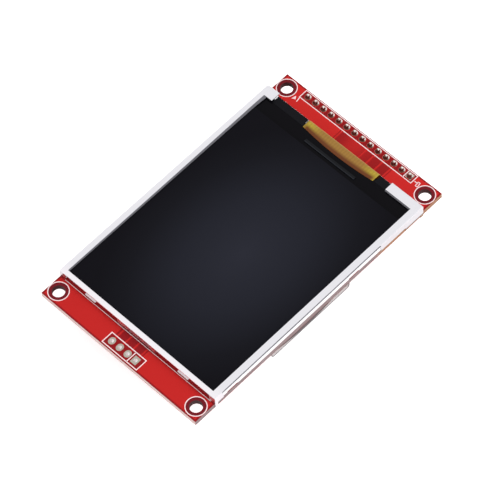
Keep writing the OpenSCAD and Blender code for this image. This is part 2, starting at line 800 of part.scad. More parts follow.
// One folded steel sheet: a rim with rounded bends, cut flanges, lugs that lap the board
module metal_bezel() {
    near_tab_x = -0.1;
    side_open_y0 = near_y + near_post_l;
    side_open_y1 = far_y - far_post_l;
    skirt_y0 = far_y - skirt_l;
    height = z_top;
    color([0.91, 0.90, 0.94]) difference() {
        tray(panel_w, panel_l, panel_y, 0, height, bend_r);
        tray(panel_w - 2 * sheet_t, panel_l - 2 * sheet_t, panel_y, -eps, height - sheet_t + eps,
            bend_r - sheet_t);
        // window, and the open stretch between the far tabs
        slab(-window_x, window_x, window_near_y, tab_y, z_lip - 1, far);
        slab(open_left_x, open_right_x, tab_y - 1, far, -1, far);
        // long flanges: a short lip along the open stretch
        slab(-far, far, side_open_y0, side_open_y1, -1, z_top - lip_h);
        // then down to the board, the skirt below its face, and a foot at each corner
        slab(-far, far, side_open_y1 - eps, skirt_y0, -1, board_t);
        slab(-far, far, skirt_y0 - eps, far_y - foot_l, -1, board_t - skirt_drop);
        slab(-far, far, near_y + foot_l, side_open_y0 + eps, -1, board_t);
        // nothing below the board's front face inside the feet
        slab(-board_w / 2 - lug_fit, board_w / 2 + lug_fit, -far, far, -1, board_t);
        // near flange: lip, middle tab and corner posts
        near_cut(-panel_w / 2 + post_w, near_tab_x - near_tab_l / 2, z_top - lip_h);
        near_cut(near_tab_x + near_tab_l / 2, panel_w / 2 - post_w, z_top - lip_h);
        near_cut(near_tab_x - near_tab_l / 2 - eps, near_tab_x + near_tab_l / 2 + eps, z_top - near_tab_h);
    }
}

// Cuts the near flange away between x0 and x1, up to z1
module near_cut(x0, x1, z1) {
    slab(x0, x1, -far, near_y + 0.5, -1, z1);
}

// ---- the nodes -------------------------------------------------------------------------------

circuit_board();
plated_holes();
header_housing();
solder_joints();
card_socket_base();
card_socket_shell();
card_contacts();
regulator_body();
regulator_leads();
transistor_body();
transistor_leads();
chip_resistors();
chip_capacitors();
chip_terminals();
foam_tape_left();
foam_tape_right();
reflector_sheet();
light_guide();
diffuser_sheet();
prism_sheet_lower();
prism_sheet_upper();
led_strip();
backlight_leds();
backlight_frame();
rear_polarizer();
rear_glass();
front_glass();
front_polarizer();
driver_chip();
display_flex();
flex_solder();
shield_tape_left();
shield_tape_right();
metal_bezel();
for (i = [1:pin_count]) header_pin(i);
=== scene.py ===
"""Finishes and fine detail for a colour display module, built around its solid parts."""

import math

import bpy
import numpy as np
from bpy.props import FloatProperty, FloatVectorProperty, PointerProperty
from mathutils import Matrix, Vector


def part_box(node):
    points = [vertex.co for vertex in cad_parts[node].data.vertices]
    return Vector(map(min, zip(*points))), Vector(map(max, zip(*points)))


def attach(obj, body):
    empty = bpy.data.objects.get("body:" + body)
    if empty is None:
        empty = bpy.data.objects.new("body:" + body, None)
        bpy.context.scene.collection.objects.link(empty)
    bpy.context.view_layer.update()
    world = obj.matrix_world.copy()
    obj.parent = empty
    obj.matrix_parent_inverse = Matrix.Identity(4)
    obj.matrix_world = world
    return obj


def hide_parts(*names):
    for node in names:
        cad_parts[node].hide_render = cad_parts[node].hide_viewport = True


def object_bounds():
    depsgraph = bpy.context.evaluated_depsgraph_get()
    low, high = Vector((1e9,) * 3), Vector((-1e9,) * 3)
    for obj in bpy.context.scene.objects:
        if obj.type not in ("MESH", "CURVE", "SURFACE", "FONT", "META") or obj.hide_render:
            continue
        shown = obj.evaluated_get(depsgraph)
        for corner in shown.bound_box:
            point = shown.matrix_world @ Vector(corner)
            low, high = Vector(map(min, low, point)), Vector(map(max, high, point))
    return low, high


bl_info = {
    "name": "Display Module",
    "version": (1, 0, 0),
    "blender": (4, 5, 0),
    "location": "3D View > Sidebar > Display",
    "description": "Dresses a colour display module with its finishes, artwork and solder",
    "category": "Object",
}

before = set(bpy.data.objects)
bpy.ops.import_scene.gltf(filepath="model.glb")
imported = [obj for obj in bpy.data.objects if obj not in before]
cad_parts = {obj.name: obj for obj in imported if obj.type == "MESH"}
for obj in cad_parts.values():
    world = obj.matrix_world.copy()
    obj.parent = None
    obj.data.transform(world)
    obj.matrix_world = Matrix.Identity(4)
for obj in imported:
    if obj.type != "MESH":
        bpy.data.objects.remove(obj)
CAD_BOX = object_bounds()
MM = 0.001


def node_box(name):
    """Lowest and highest corner of a solid part, in millimetres."""
    low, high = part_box(name)
    return np.array(low) / MM, np.array(high) / MM


BOARD_LOW, BOARD_HIGH = node_box("circuit_board")
BEZEL_LOW, BEZEL_HIGH = node_box("metal_bezel")
FLEX_LOW, FLEX_HIGH = node_box("display_flex")
FLEX_SOLDER_LOW, FLEX_SOLDER_HIGH = node_box("flex_solder")
LEDGE_LOW, LEDGE_HIGH = node_box("rear_glass")
SOCKET_LOW, SOCKET_HIGH = node_box("card_socket_shell")
FRONT_Z = BOARD_HIGH[2]
BACK_Z = BOARD_LOW[2]
PIN_NAMES = sorted(
    (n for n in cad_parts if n.startswith("header_pin_")),
    key=lambda n: int(n.rsplit("_", 1)[1]),
)
PIN_CENTRES = np.array([sum(node_box(n)) / 2 for n in PIN_NAMES])
MOUNT_X = 22.38
MOUNT_Y = 38.19
MOUNT_R = 1.6
MOUNTS = [(sx * MOUNT_X, sy * MOUNT_Y) for sx in (-1, 1) for sy in (-1, 1)]
CARD_HOLES_X = np.array([-3.81, -1.27, 1.27, 3.81])
CARD_HOLES_Y = -39.08
# radius of a pin's copper pad and of a card hole's on the back
PIN_PAD_R = 0.95
CARD_PAD_R = 1.05
# thickness of the mask over bare laminate
MASK_COAT = 0.008
# where the shade of the panel starts on the near end's mask
PANEL_SHADE_Y = -35.3
LOWEST_Z = CAD_BOX[0].z / MM


# ---------------------------------------------------------------- settings


def colour_property(name, description, default):
    """A colour that a user can set."""
    return FloatVectorProperty(
        name=name,
        description=description,
        subtype="COLOR",
        size=3,
        min=0.0,
        max=1.0,
        default=default,
    )


def length_property(name, description, default, least):
    """A length that a user can set. The default and the least value are in millimetres."""
    return FloatProperty(
        name=name,
        description=description,
        subtype="DISTANCE",
        default=default * MM,
        min=least * MM,
        precision=6,
    )


def light_property(name, description, default):
    """A light's power or strength that a user can set."""
    return FloatProperty(name=name, description=description, default=default, min=0.0)


class BoardSettings(bpy.types.PropertyGroup):
    """Colours and sizes of the circuit board's mask and ink."""

    mask_on_copper: colour_property(
        "Mask on copper",
        "Colour of the solder mask where copper lies under it",
        (0.545, 0.0175, 0.0155),
    )
    mask_on_laminate: colour_property(
        "Mask on laminate",
        "Colour of the solder mask where no copper lies under it",
        (0.27, 0.006, 0.008),
    )
    copper_height: length_property(
        "Copper height", "How far the mask is lifted by the copper under it", 0.027, 0.0
    )
    ink_width: length_property("Ink width", "Width of a printed ink line", 0.25, 0.05)
    ring_radius: length_property(
        "Ring radius", "Radius of the ink ring round a mounting hole", 2.52, 2.0
    )


class DisplaySettings(bpy.types.PropertyGroup):
    """Colours of the panel and of its flex."""

    steel: colour_property(
        "Bezel steel", "Colour of the bezel's bright steel", (0.815, 0.805, 0.845)
    )
    film: colour_property("Flex film", "Colour of the polyimide film", (0.40, 0.29, 0.03))
    trace_pitch: length_property(
        "Flex trace pitch", "Distance between the copper lines in the flex", 0.8, 0.1
    )


class StageSettings(bpy.types.PropertyGroup):
    """Floor and light."""

    key_power: light_property(
        "Key light", "Power of the large light above the far end of the module", 0.17
    )
    side_power: light_property(
        "Side light", "Power of the light on the card socket's side", 0.085
    )
    front_power: light_property(
        "Front light", "Power of the low light on the near side", 0.085
    )
    sky: light_property("Surround", "Strength of the soft light from all round", 0.6)


class DisplayModuleSettings(bpy.types.PropertyGroup):
    """Everything that a user would change."""

    board: PointerProperty(type=BoardSettings, name="Board")
    display: PointerProperty(type=DisplaySettings, name="Display")
    stage: PointerProperty(type=StageSettings, name="Stage")


# ---------------------------------------------------------------- meshes


def rgba(colour):
    """Linear red, green, blue and alpha, from three numbers or an sRGB hex value."""
    if isinstance(colour, str):
        channels = [int(colour[i : i + 2], 16) / 255 for i in (0, 2, 4)]
        colour = [
            c / 12.92 if c <= 0.04045 else ((c + 0.055) / 1.055) ** 2.4 for c in channels
        ]
    return tuple(colour)[:3] + (1.0,)


def add_piece(name, points, faces, material, smooth=False, values=None):
    """Makes one mesh piece from points in millimetres and an array or list of faces."""
    mesh = bpy.data.meshes.new(name)
    faces = faces.tolist() if isinstance(faces, np.ndarray) else faces
    mesh.from_pydata((np.asarray(points) * MM).tolist(), [], faces)
    mesh.validate()
    mesh.polygons.foreach_set("use_smooth", np.full(len(mesh.polygons), smooth))
    for label, data in (values or {}).items():
        layer = mesh.attributes.new(label, "FLOAT", "POINT")
        layer.data.foreach_set("value", np.asarray(data, dtype=np.float32))
    mesh.materials.append(material)
    mesh.update()
    piece = bpy.data.objects.new(name, mesh)
    bpy.context.scene.collection.objects.link(piece)
    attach(piece, "root")
    return piece


def tube(sections, closed_path=False):
    """Carries a closed profile along a path: sections[i, j] is profile point j at path
    step i. Neighbouring sections are joined by quads, and an open path is capped at both
    ends."""
    n, k = sections.shape[:2]
    i = np.arange(n if closed_path else n - 1)[:, None]
    j = np.arange(k)[None, :]
    i2, j2 = (i + 1) % n, (j + 1) % k
    corners = [i * k + j, i2 * k + j, i2 * k + j2, i * k + j2]
    faces = np.stack(corners, axis=-1).reshape(-1, 4).tolist()
    if not closed_path:
        faces += [list(range(k)), list(range((n - 1) * k, n * k))[::-1]]
    return sections.reshape(-1, 3), faces


def turned(radii, heights, step):
    """A ring turned about Z: the point at angle a is (r cos a, r sin a, h) for each radius
    r and height h of a closed profile, and a goes round in steps of so many degrees."""
    a = np.radians(np.arange(0, 360, step))[:, None]
    level = np.broadcast_to(heights, (len(a), len(radii)))
    return np.stack([np.cos(a) * radii, np.sin(a) * radii, level], -1)


def sheet_solid(upper, lower, keep):
    """A closed solid between two grids of points, upper and lower, of the same shape.
    Only the cells where keep is true are there, and a wall stands along each border."""
    n, m = upper.shape[:2]
    count = n * m
    ids = np.arange(count).reshape(n, m)
    a, b, c, d = ids[:-1, :-1], ids[1:, :-1], ids[1:, 1:], ids[:-1, 1:]
    top = np.stack([a, b, c, d], -1)[keep]
    faces = [top, top[:, ::-1] + count]
    padded = np.pad(keep, 1)
    core = padded[1:-1, 1:-1]
    for neighbour, p, q in (
        (padded[:-2, 1:-1], d, a),
        (padded[2:, 1:-1], b, c),
        (padded[1:-1, :-2], a, b),
        (padded[1:-1, 2:], c, d),
    ):
        edge = core & ~neighbour
        s, e = p[edge], q[edge]
        faces.append(np.stack([e, s, s + count, e + count], -1))
    faces = np.concatenate(faces)
    points = np.concatenate([upper.reshape(-1, 3), lower.reshape(-1, 3)])
    used, inverse = np.unique(faces, return_inverse=True)
    return points[used], inverse.reshape(faces.shape), used


def repeated(points, faces, offsets):
    """Copies of one solid, moved by each offset, as one set of points and faces."""
    count = len(points)
    moved = (points[None] + np.asarray(offsets)[:, None]).reshape(-1, 3)
    shifted = [
        [v + k * count for v in face] for k in range(len(offsets)) for face in faces
    ]
    return moved, shifted


def joined(solids):
    """Several solids as one set of points and faces."""
    points, faces, start = [], [], 0
    for p, f in solids:
        points.append(np.asarray(p))
        faces += [[v + start for v in face] for face in f]
        start += len(p)
    return np.concatenate(points), faces


def ink_path(corners, width, z0, z1, closed):
    """A printed line: a flat bar of the given width along a path in plan, with mitred
    corners. At each one the two edges lie along the mean of the neighbouring normals."""
    p = np.asarray(corners, dtype=float)
    ahead = np.roll(p, -1, 0) - p
    behind = p - np.roll(p, 1, 0)
    if not closed:
        ahead[-1], behind[0] = behind[-1], ahead[0]
    unit = lambda v: v / np.linalg.norm(v, axis=1, keepdims=True)
    na, nb = unit(ahead)[:, ::-1] * [-1, 1], unit(behind)[:, ::-1] * [-1, 1]
    mitre = na + nb
    mitre *= width / np.maximum((mitre * na).sum(1, keepdims=True), 0.2)
    half = mitre / 2
    # the printed face is a little narrower than the foot
    inset = 0.85
    edges = ((p - half, z0), (p + half, z0), (p + half * inset, z1), (p - half * inset, z1))
    sections = np.stack([np.column_stack([e, np.full(len(p), z)]) for e, z in edges], 1)
    if z1 > z0:
        sections = sections[:, ::-1]
    return tube(sections, closed)


def circle_path(x, y, r, steps=72):
    """Points on a circle of radius r round x, y."""
    a = np.radians(360.0 * np.arange(steps) / steps)
    return np.column_stack([x + r * np.cos(a), y + r * np.sin(a)])


def box_path(x0, x1, y0, y1):
    """The four corners of a rectangle."""
    return [[x0, y0], [x1, y0], [x1, y1], [x0, y1]]


# ---------------------------------------------------------------- materials


def add_node(tree, kind, settings=None, inputs=None, links=None):
    """Adds a node of any kind, sets it, gives its inputs values and links others to it."""
    made = tree.nodes.new(kind)
    for key, value in (settings or {}).items():
        setattr(made, key, value)
    for key, value in (inputs or {}).items():
        made.inputs[key].default_value = value
    for key, source in (links or {}).items():
        tree.links.new(source, made.inputs[key])
    return made


def feed(tree, made, values):
    """Fills a node's inputs. Each value is a plain one or another node's output."""
    for key, value in values:
        if isinstance(value, bpy.types.NodeSocket):
            tree.links.new(value, made.inputs[key])
        else:
            made.inputs[key].default_value = value
    return made


def calculate(tree, operation, *values):
    """The result of a sum on numbers or outputs of other nodes."""
    made = add_node(tree, "ShaderNodeMath", {"operation": operation})
    return feed(tree, made, enumerate(values)).outputs[0]


def calculate_vector(tree, operation, *values):
    """The node for a sum on vectors or outputs of other nodes."""
    made = add_node(tree, "ShaderNodeVectorMath", {"operation": operation})
    return feed(tree, made, enumerate(values))


def blend(tree, factor, first, second, mode="MIX"):
    """A mix of two colours by a factor. Each is plain or the output of another node."""
    made = add_node(tree, "ShaderNodeMix", {"data_type": "RGBA", "blend_type": mode})
    first, second = (
        c if isinstance(c, bpy.types.NodeSocket) else rgba(c) for c in (first, second)
    )
    return feed(tree, made, ((0, factor), (6, first), (7, second))).outputs[2]


def map_range(tree, value, start, end, low=0.0, high=1.0, clamp=True):
    """A value carried from the range start to end onto the range low to high."""
    ends = {1: start, 2: end, 3: low, 4: high}
    return add_node(
        tree, "ShaderNodeMapRange", {"clamp": clamp}, ends, {0: value}
    ).outputs[0]


def band(tree, value, low, high):
    """1 where a value is between two bounds, else 0."""
    above = calculate(tree, "GREATER_THAN", value, low)
    below = calculate(tree, "LESS_THAN", value, high)
    return calculate(tree, "MULTIPLY", above, below)


def attribute(tree, name):
    """The value of a mesh's attribute."""
    return add_node(tree, "ShaderNodeAttribute", {"attribute_name": name}).outputs["Fac"]


def object_place(tree):
    """Object coordinates, in metres."""
    return add_node(tree, "ShaderNodeTexCoord").outputs["Object"]


def split(tree, vector):
    """The outputs X, Y and Z of a vector."""
    return add_node(tree, "ShaderNodeSeparateXYZ", links={"Vector": vector}).outputs


def new_material(name, colour, roughness, metallic=0.0, specular=0.5, ior=1.45):
    """A material with its shader set, and its tree and shader to build on."""
    material = bpy.data.materials.new(name)
    material.use_nodes = True
    tree = material.node_tree
    shader = tree.nodes["Principled BSDF"]
    shader.inputs["Base Color"].default_value = rgba(colour)
    shader.inputs["Roughness"].default_value = roughness
    shader.inputs["Metallic"].default_value = metallic
    if metallic == 0:
        shader.inputs["IOR"].default_value = ior
        shader.inputs["Specular IOR Level"].default_value = specular
    material.diffuse_color = rgba(colour)
    return material, tree, shader


def object_coordinates(tree, scale=(1.0, 1.0, 1.0)):
    """Object coordinates, scaled."""
    return add_node(
        tree,
        "ShaderNodeMapping",
        inputs={"Scale": scale},
        links={"Vector": object_place(tree)},
    ).outputs["Vector"]


def ramp(tree, source, stops):
    """A colour ramp on a value: stops are pairs of place and colour."""
    made = add_node(tree, "ShaderNodeValToRGB", links={"Fac": source})
    elements = made.color_ramp.elements
    elements[0].position, elements[0].color = stops[0][0], rgba(stops[0][1])
    elements[1].position, elements[1].color = stops[-1][0], rgba(stops[-1][1])
    for place, colour in stops[1:-1]:
        elements.new(place).color = rgba(colour)
    return made.outputs["Color"]


def grain(tree, shader, spacing, depth, stretch=(1.0, 1.0, 1.0)):
    """Fine relief: noise whose lumps are spacing metres apart and depth metres high."""
    coords = object_coordinates(tree, stretch)
    noise = add_node(
        tree,
        "ShaderNodeTexNoise",
        inputs={"Scale": 1 / spacing, "Detail": 2.0},
        links={"Vector": coords},
    )
    bump = add_node(
        tree,
        "ShaderNodeBump",
        inputs={"Strength": 1.0, "Distance": depth},
        links={"Height": noise.outputs["Fac"]},
    )
    tree.links.new(bump.outputs["Normal"], shader.inputs["Normal"])


def liquid_mask(settings):
    """Liquid solder mask, cured by light: a thin glossy red coat, lighter over copper, with
    the even flow of a sprayed film. The attribute copper says what lies under it: 1 is
    copper, 0.3 is laminate and 0 is the coat, laid twice and so darker, round a mounting
    hole. On the front's near end the attribute is also lowered, as painted shade."""
    material, tree, shader = new_material(
        "red_solder_mask", settings.mask_on_copper, 0.36, specular=0.12, ior=1.5
    )
    colour = ramp(
        tree,
        attribute(tree, "copper"),
        [
            (0.0, (0.15, 0.007, 0.012)),
            (0.3, settings.mask_on_laminate),
            (1.0, settings.mask_on_copper),
        ],
    )
    tree.links.new(colour, shader.inputs["Base Color"])
    # flow marks about 1.5 mm apart and 1 micron deep, as a cured coat has
    grain(tree, shader, 1.5 * MM, 0.001 * MM)
    return material


def board_laminate(settings):
    """Glass-epoxy laminate, routed at the edges: tan with the pale lines of its glass
    plies, under a red mask on both faces."""
    material, tree, shader = new_material(
        "glass_epoxy_board", "C9A98A", 0.6, specular=0.25, ior=1.55
    )
    place = object_place(tree)
    axes = split(tree, place)
    # the mask is drawn 0.1 mm deep at the edge, a little thicker than the real coat
    middle, inside = (FRONT_Z + BACK_Z) / 2, (FRONT_Z - BACK_Z) / 2 - 0.1
    off_middle = calculate(tree, "SUBTRACT", axes["Z"], middle * MM)
    reach = calculate(tree, "ABSOLUTE", off_middle)
    is_mask = calculate(tree, "GREATER_THAN", reach, inside * MM)
    # plies 0.2 mm thick, broken up along the cut every few millimetres
    plies = add_node(
        tree,
        "ShaderNodeTexNoise",
        inputs={"Scale": 1 / (0.2 * MM), "Detail": 3.0},
        links={"Vector": object_coordinates(tree, (0.06, 0.06, 1.0))},
    )
    cut = ramp(
        tree,
        plies.outputs["Fac"],
        [(0.3, "C3A8A4"), (0.5, "D6BCB8"), (0.7, "E4D0CC")],
    )
    # painted shade: the long edges are darker than the ends, grey, and tan from y 21 mm on
    across = calculate(tree, "ABSOLUTE", axes["X"])
    is_long = calculate(tree, "GREATER_THAN", across, (BOARD_HIGH[0] - 0.02) * MM)
    far = map_range(tree, axes["Y"], 18 * MM, 21 * MM)
    tone = ramp(tree, far, [(0.0, "A6A4A9"), (1.0, "C0A07C")])
    cut = blend(tree, is_long, cut, tone, "MULTIPLY")
    colour = blend(tree, is_mask, cut, settings.mask_on_laminate)
    # painted shade: the drilled walls of the mounting holes are dark
    folded = calculate_vector(tree, "ABSOLUTE", place).outputs[0]
    centre = (MOUNT_X * MM, MOUNT_Y * MM, 0)
    off_hole = calculate_vector(tree, "SUBTRACT", folded, centre).outputs[0]
    in_plan = calculate_vector(tree, "MULTIPLY", off_hole, (1, 1, 0)).outputs[0]
    radius = calculate_vector(tree, "LENGTH", in_plan).outputs["Value"]
    painted_hole_shade = calculate(tree, "LESS_THAN", radius, (MOUNT_R + 0.1) * MM)
    colour = blend(tree, painted_hole_shade, colour, "3C0E10")
    tree.links.new(colour, shader.inputs["Base Color"])
    return material


def screen_ink():
    """Screen-printed epoxy ink: flat white with a slightly dry surface."""
    material, tree, shader = new_material(
        "white_epoxy_ink", "F6DEDF", 0.55, specular=0.3
    )
    grain(tree, shader, 0.15 * MM, 0.003 * MM)
    return material


def bright_steel(settings):
    """Bright cold-rolled steel, pressed and folded: pale, with a fine rolled grain along Y.
    On the right wall, the lowest part of the far skirt is tan under a painted shadow line,
    the lower edge of the long lip carries painted shade, and the near rim a painted
    highlight."""
    material, tree, shader = new_material(
        "bright_rolled_steel", settings.steel, 0.3, metallic=1.0
    )
    axes = split(tree, object_place(tree))
    colour = settings.steel
    top = BEZEL_HIGH[2]
    right_wall = band(tree, axes["X"], (BEZEL_HIGH[0] - 0.15) * MM, 1.0)
    # range along Y, range in height above the board's back face and colour of each band: a
    #     tan band at the foot of the far skirt, a painted shadow line above it, and a
    #     painted shadow line on the lower edge of the long lip
    for (y0, y1), (z0, z1), tone in (
        ((23.5, BEZEL_HIGH[1]), (-1.0, 0.95), "B08C72"),
        ((23.5, BEZEL_HIGH[1]), (0.95, 1.2), "6E6A70"),
        ((-32.5, 20.0), (top - 0.5, top - 0.13), "5C5C64"),
    ):
        along = band(tree, axes["Y"], y0 * MM, y1 * MM)
        level = band(tree, axes["Z"], z0 * MM, z1 * MM)
        tan_or_painted_shade = calculate(tree, "MULTIPLY", right_wall, along)
        tan_or_painted_shade = calculate(tree, "MULTIPLY", tan_or_painted_shade, level)
        colour = blend(tree, tan_or_painted_shade, colour, tone)
    # painted highlight: the near rim is brighter over the last 3 mm of the sheet
    near = map_range(tree, axes["Y"], -31.5 * MM, -34.3 * MM)
    colour = blend(tree, near, colour, "F5F1F6")
    tree.links.new(colour, shader.inputs["Base Color"])
    # rolling lines 0.15 mm apart, drawn out to 20 mm along the sheet
    grain(tree, shader, 0.15 * MM, 0.0006 * MM, (1.0, 0.0075, 1.0))
    return material


def polarizer_film_finish():
    """Anti-glare polarizer over a switched-off screen: nearly black, with a very fine matt
    hard coat, and a painted reflection that makes it a touch bluer and lighter towards the
    middle."""
    material, tree, shader = new_material(
        "antiglare_polarizer", "121218", 0.42, specular=0.06, ior=1.5
    )
    low, high = node_box("front_polarizer")
    centre = (low + high) / 2
    # the painted reflection is centred 3 mm to the right, and fades out over this reach
    #     along x and y
    shift, reach_x, reach_y = 3, 27, 40
    away = add_node(
        tree,
        "ShaderNodeMapping",
        inputs={
            "Location": (-(centre[0] + shift) / reach_x, -centre[1] / reach_y, 0),
            "Scale": (1 / (reach_x * MM), 1 / (reach_y * MM), 0.0),
        },
        links={"Vector": object_place(tree)},
    )
    distance = calculate_vector(tree, "LENGTH", away.outputs["Vector"])
    # the colour of the painted reflection, by distance from its middle
    glow = ramp(
        tree,
        distance.outputs["Value"],
        [
            (0.0, "25262F"),
            (0.45, "1D1E26"),
            (0.8, "101016"),
            (1.0, "0A090F"),
        ],
    )
    tree.links.new(glow, shader.inputs["Base Color"])
    return material


def flex_finish(settings):
    """Polyimide film on copper: amber and slightly glossy, tan where the copper lines run,
    red-brown at the bond and, as painted shade, inside the fold, and pale at the fold as a
    painted highlight. The attributes of those names say where."""
    material, tree, shader = new_material(
        "polyimide_flex", settings.film, 0.42, specular=0.2, ior=1.6
    )
    body = ramp(tree, attribute(tree, "lines"), [(0.0, settings.film), (1.0, "966F32")])
    # copper lines drawn coarser than the real 0.3 mm so that they show
    wave = add_node(
        tree,
        "ShaderNodeTexWave",
        {"bands_direction": "X"},
        {"Scale": 1 / settings.trace_pitch / 20 * 2 * math.pi, "Distortion": 0.0},
        {"Vector": object_coordinates(tree, (1.0, 0.02, 0.02))},
    )
    faint = calculate(tree, "MULTIPLY", wave.outputs["Fac"], 0.16)
    colour = blend(tree, faint, body, "9A7A40", "MULTIPLY")
    colour = blend(tree, attribute(tree, "bond"), colour, "60300C")
    # painted highlight: the outside of the fold is pale
    colour = blend(tree, attribute(tree, "fold"), colour, "BE8C52")
    tree.links.new(colour, shader.inputs["Base Color"])
    return material


def solder_finish():
    """Tin solder that froze in the air: bright metal on the far side, a painted highlight,
    and brown on the near side, painted shade, both set by which way the surface faces."""
    material, tree, shader = new_material("tin_solder", "8A7F78", 0.24, metallic=1.0)
    grain(tree, shader, 0.5 * MM, 0.012 * MM)
    slope = add_node(tree, "ShaderNodeNewGeometry").outputs["Normal"]
    painted_light_side = calculate_vector(tree, "DOT_PRODUCT", slope, (0.25, 0.95, 0.15))
    colour = ramp(
        tree,
        painted_light_side.outputs["Value"],
        [
            (0.0, "6A4238"),
            (0.12, "7A5A4E"),
            (0.4, "A89E98"),
            (0.6, "F8F6F2"),
        ],
    )
    tree.links.new(colour, shader.inputs["Base Color"])
    return material


def sheet_edge_finish():
    """The shaded gap between the bezel and the glass: pale plastic and sheared steel seen
    in its own shadow, so a matt mid grey."""
    return new_material("shaded_sheet_edge", "68676D", 0.6, specular=0.2)[0]


def frame_finish():
    """White polycarbonate, with a painted shadow line under the bezel on its long sides, a
    line that starts 0.4 mm and ends 1 mm below the bezel's face."""
    white = "F4F3F6"
    material, tree, shader = new_material(
        "white_polycarbonate", white, 0.45, specular=0.35, ior=1.58
    )
    grain(tree, shader, 0.3 * MM, 0.002 * MM)
    axes = split(tree, object_place(tree))
    across = calculate(tree, "ABSOLUTE", axes["X"])
    top = BEZEL_HIGH[2]
    level = band(tree, axes["Z"], (top - 1.0) * MM, (top - 0.38) * MM)
    side = band(tree, across, (BEZEL_HIGH[0] - 0.3) * MM, 1.0)
    both = calculate(tree, "MULTIPLY", level, side)
    # painted shadow line under the bezel's lip
    colour = blend(tree, both, white, "2A2A34")
    tree.links.new(colour, shader.inputs["Base Color"])
    return material


def chip_finish():
    """Bare silicon, nearly black, with a painted highlight: a pale line along its near
    edge.
    """
    silicon = "0F1014"
    material, tree, shader = new_material(
        "bare_silicon", silicon, 0.3, specular=0.12, ior=1.5
    )
    axes = split(tree, object_place(tree))
    low = node_box("driver_chip")[0][1]
    # painted highlight along the near edge
    edge = band(tree, axes["Y"], (low - 0.1) * MM, (low + 0.22) * MM)
    colour = blend(tree, edge, silicon, "202227")
    tree.links.new(colour, shader.inputs["Base Color"])
    return material


def shell_finish():
    """Zinc-plated shell, with painted shade in the mouth: a dull grey lens, v < 1 - u^2,
    with v from 0 to 1 over the last 0.75 mm before the mouth and u from -1 to 1 along it.
    Outside the lens the plating is pale, a painted highlight, and dark at the very edge."""
    zinc = "A9B4B8"
    material, tree, shader = new_material("zinc_plated_shell", zinc, 0.45, metallic=0.6)
    grain(tree, shader, 0.15 * MM, 0.001 * MM, (0.01, 1.0, 1.0))
    axes = split(tree, object_place(tree))
    mouth = SOCKET_HIGH[0]
    v = map_range(tree, axes["X"], (mouth - 0.75) * MM, mouth * MM, clamp=False)
    middle = (SOCKET_LOW[1] + SOCKET_HIGH[1]) / 2
    u = map_range(tree, axes["Y"], (middle - 1.2) * MM, (middle + 9.6) * MM, clamp=False)
    reach = calculate(tree, "ADD", v, calculate(tree, "MULTIPLY", u, u))
    # painted shade in the lens, painted highlight outside it
    lens = ramp(tree, reach, [(0.0, "908F90"), (0.86, "908F90"), (0.98, "FFFFFF")])
    rim = band(tree, v, 0.86, 2.0)
    inside = band(tree, v, -0.6, 2.0)
    colour = blend(tree, inside, zinc, lens)
    colour = blend(tree, rim, colour, "8C8C8E")
    metal = map_range(tree, inside, 0.0, 1.0, 0.6, 0.1)
    tree.links.new(metal, shader.inputs["Metallic"])
    tree.links.new(colour, shader.inputs["Base Color"])
    return material


def by_slope(tree, shader, upright, flat):
    """One colour on upright walls and another on level faces, by the surface's slope."""
    slope = split(tree, add_node(tree, "ShaderNodeNewGeometry").outputs["Normal"])
    level = calculate(tree, "ABSOLUTE", slope["Z"])
    colour = ramp(tree, level, [(0.4, upright), (0.6, flat)])
    tree.links.new(colour, shader.inputs["Base Color"])


# parts, material, colour, then roughness, metallic, specular and index of refraction, and
# the spacing and depth of any grain in millimetres
PLAIN_FINISHES = (
    (
        "rear_glass front_glass",
        "coated_display_glass",
        "09080C",
        (0.16, 0, 0.05, 1.52),
        None,
    ),
    (
        "rear_polarizer shield_tape_left shield_tape_right",
        "black_polyester_tape",
        "0E0E12",
        (0.5, 0, 0.08, 1.5),
        None,
    ),
    ("card_contacts", "gold_plate", "E2BE74", (0.25, 1), None),
    (
        "regulator_leads transistor_leads chip_terminals",
        "tin_plate",
        "C9C7C0",
        (0.3, 1),
        (0.2, 0.002),
    ),
    (" ".join(PIN_NAMES), "tinned_pin", "F3F1EC", (0.16, 1), None),
    (
        "card_socket_base header_housing",
        "black_glass_filled_nylon",
        "1D1D1F",
        (0.5, 0, 0.35, 1.53),
        (0.12, 0.004),
    ),
    (
        "regulator_body transistor_body chip_resistors",
        "black_moulding_epoxy",
        "26262A",
        (0.55, 0, 0.35, 1.55),
        (0.08, 0.003),
    ),
    ("chip_capacitors", "fired_ceramic", "9E7C57", (0.4, 0, 0.4, 1.7), None),
    ("foam_tape_left foam_tape_right", "white_foam_tape", "E9E8E2", (0.9, 0, 0.2), None),
    ("reflector_sheet", "silver_reflector", "D8DADF", (0.15, 1), None),
    ("light_guide", "clear_acrylic_guide", "DCE6EA", (0.08, 0, 0.5, 1.49), None),
    (
        "prism_sheet_lower prism_sheet_upper",
        "prism_film",
        "D2D6DB",
        (0.3, 0, 0.4, 1.57),
        None,
    ),
    ("diffuser_sheet", "diffuser_film", "ECECEA", (0.8, 0, 0.3), None),
    ("backlight_leds", "led_package", "EFE3A0", (0.35, 0, 0.4, 1.5), None),
)


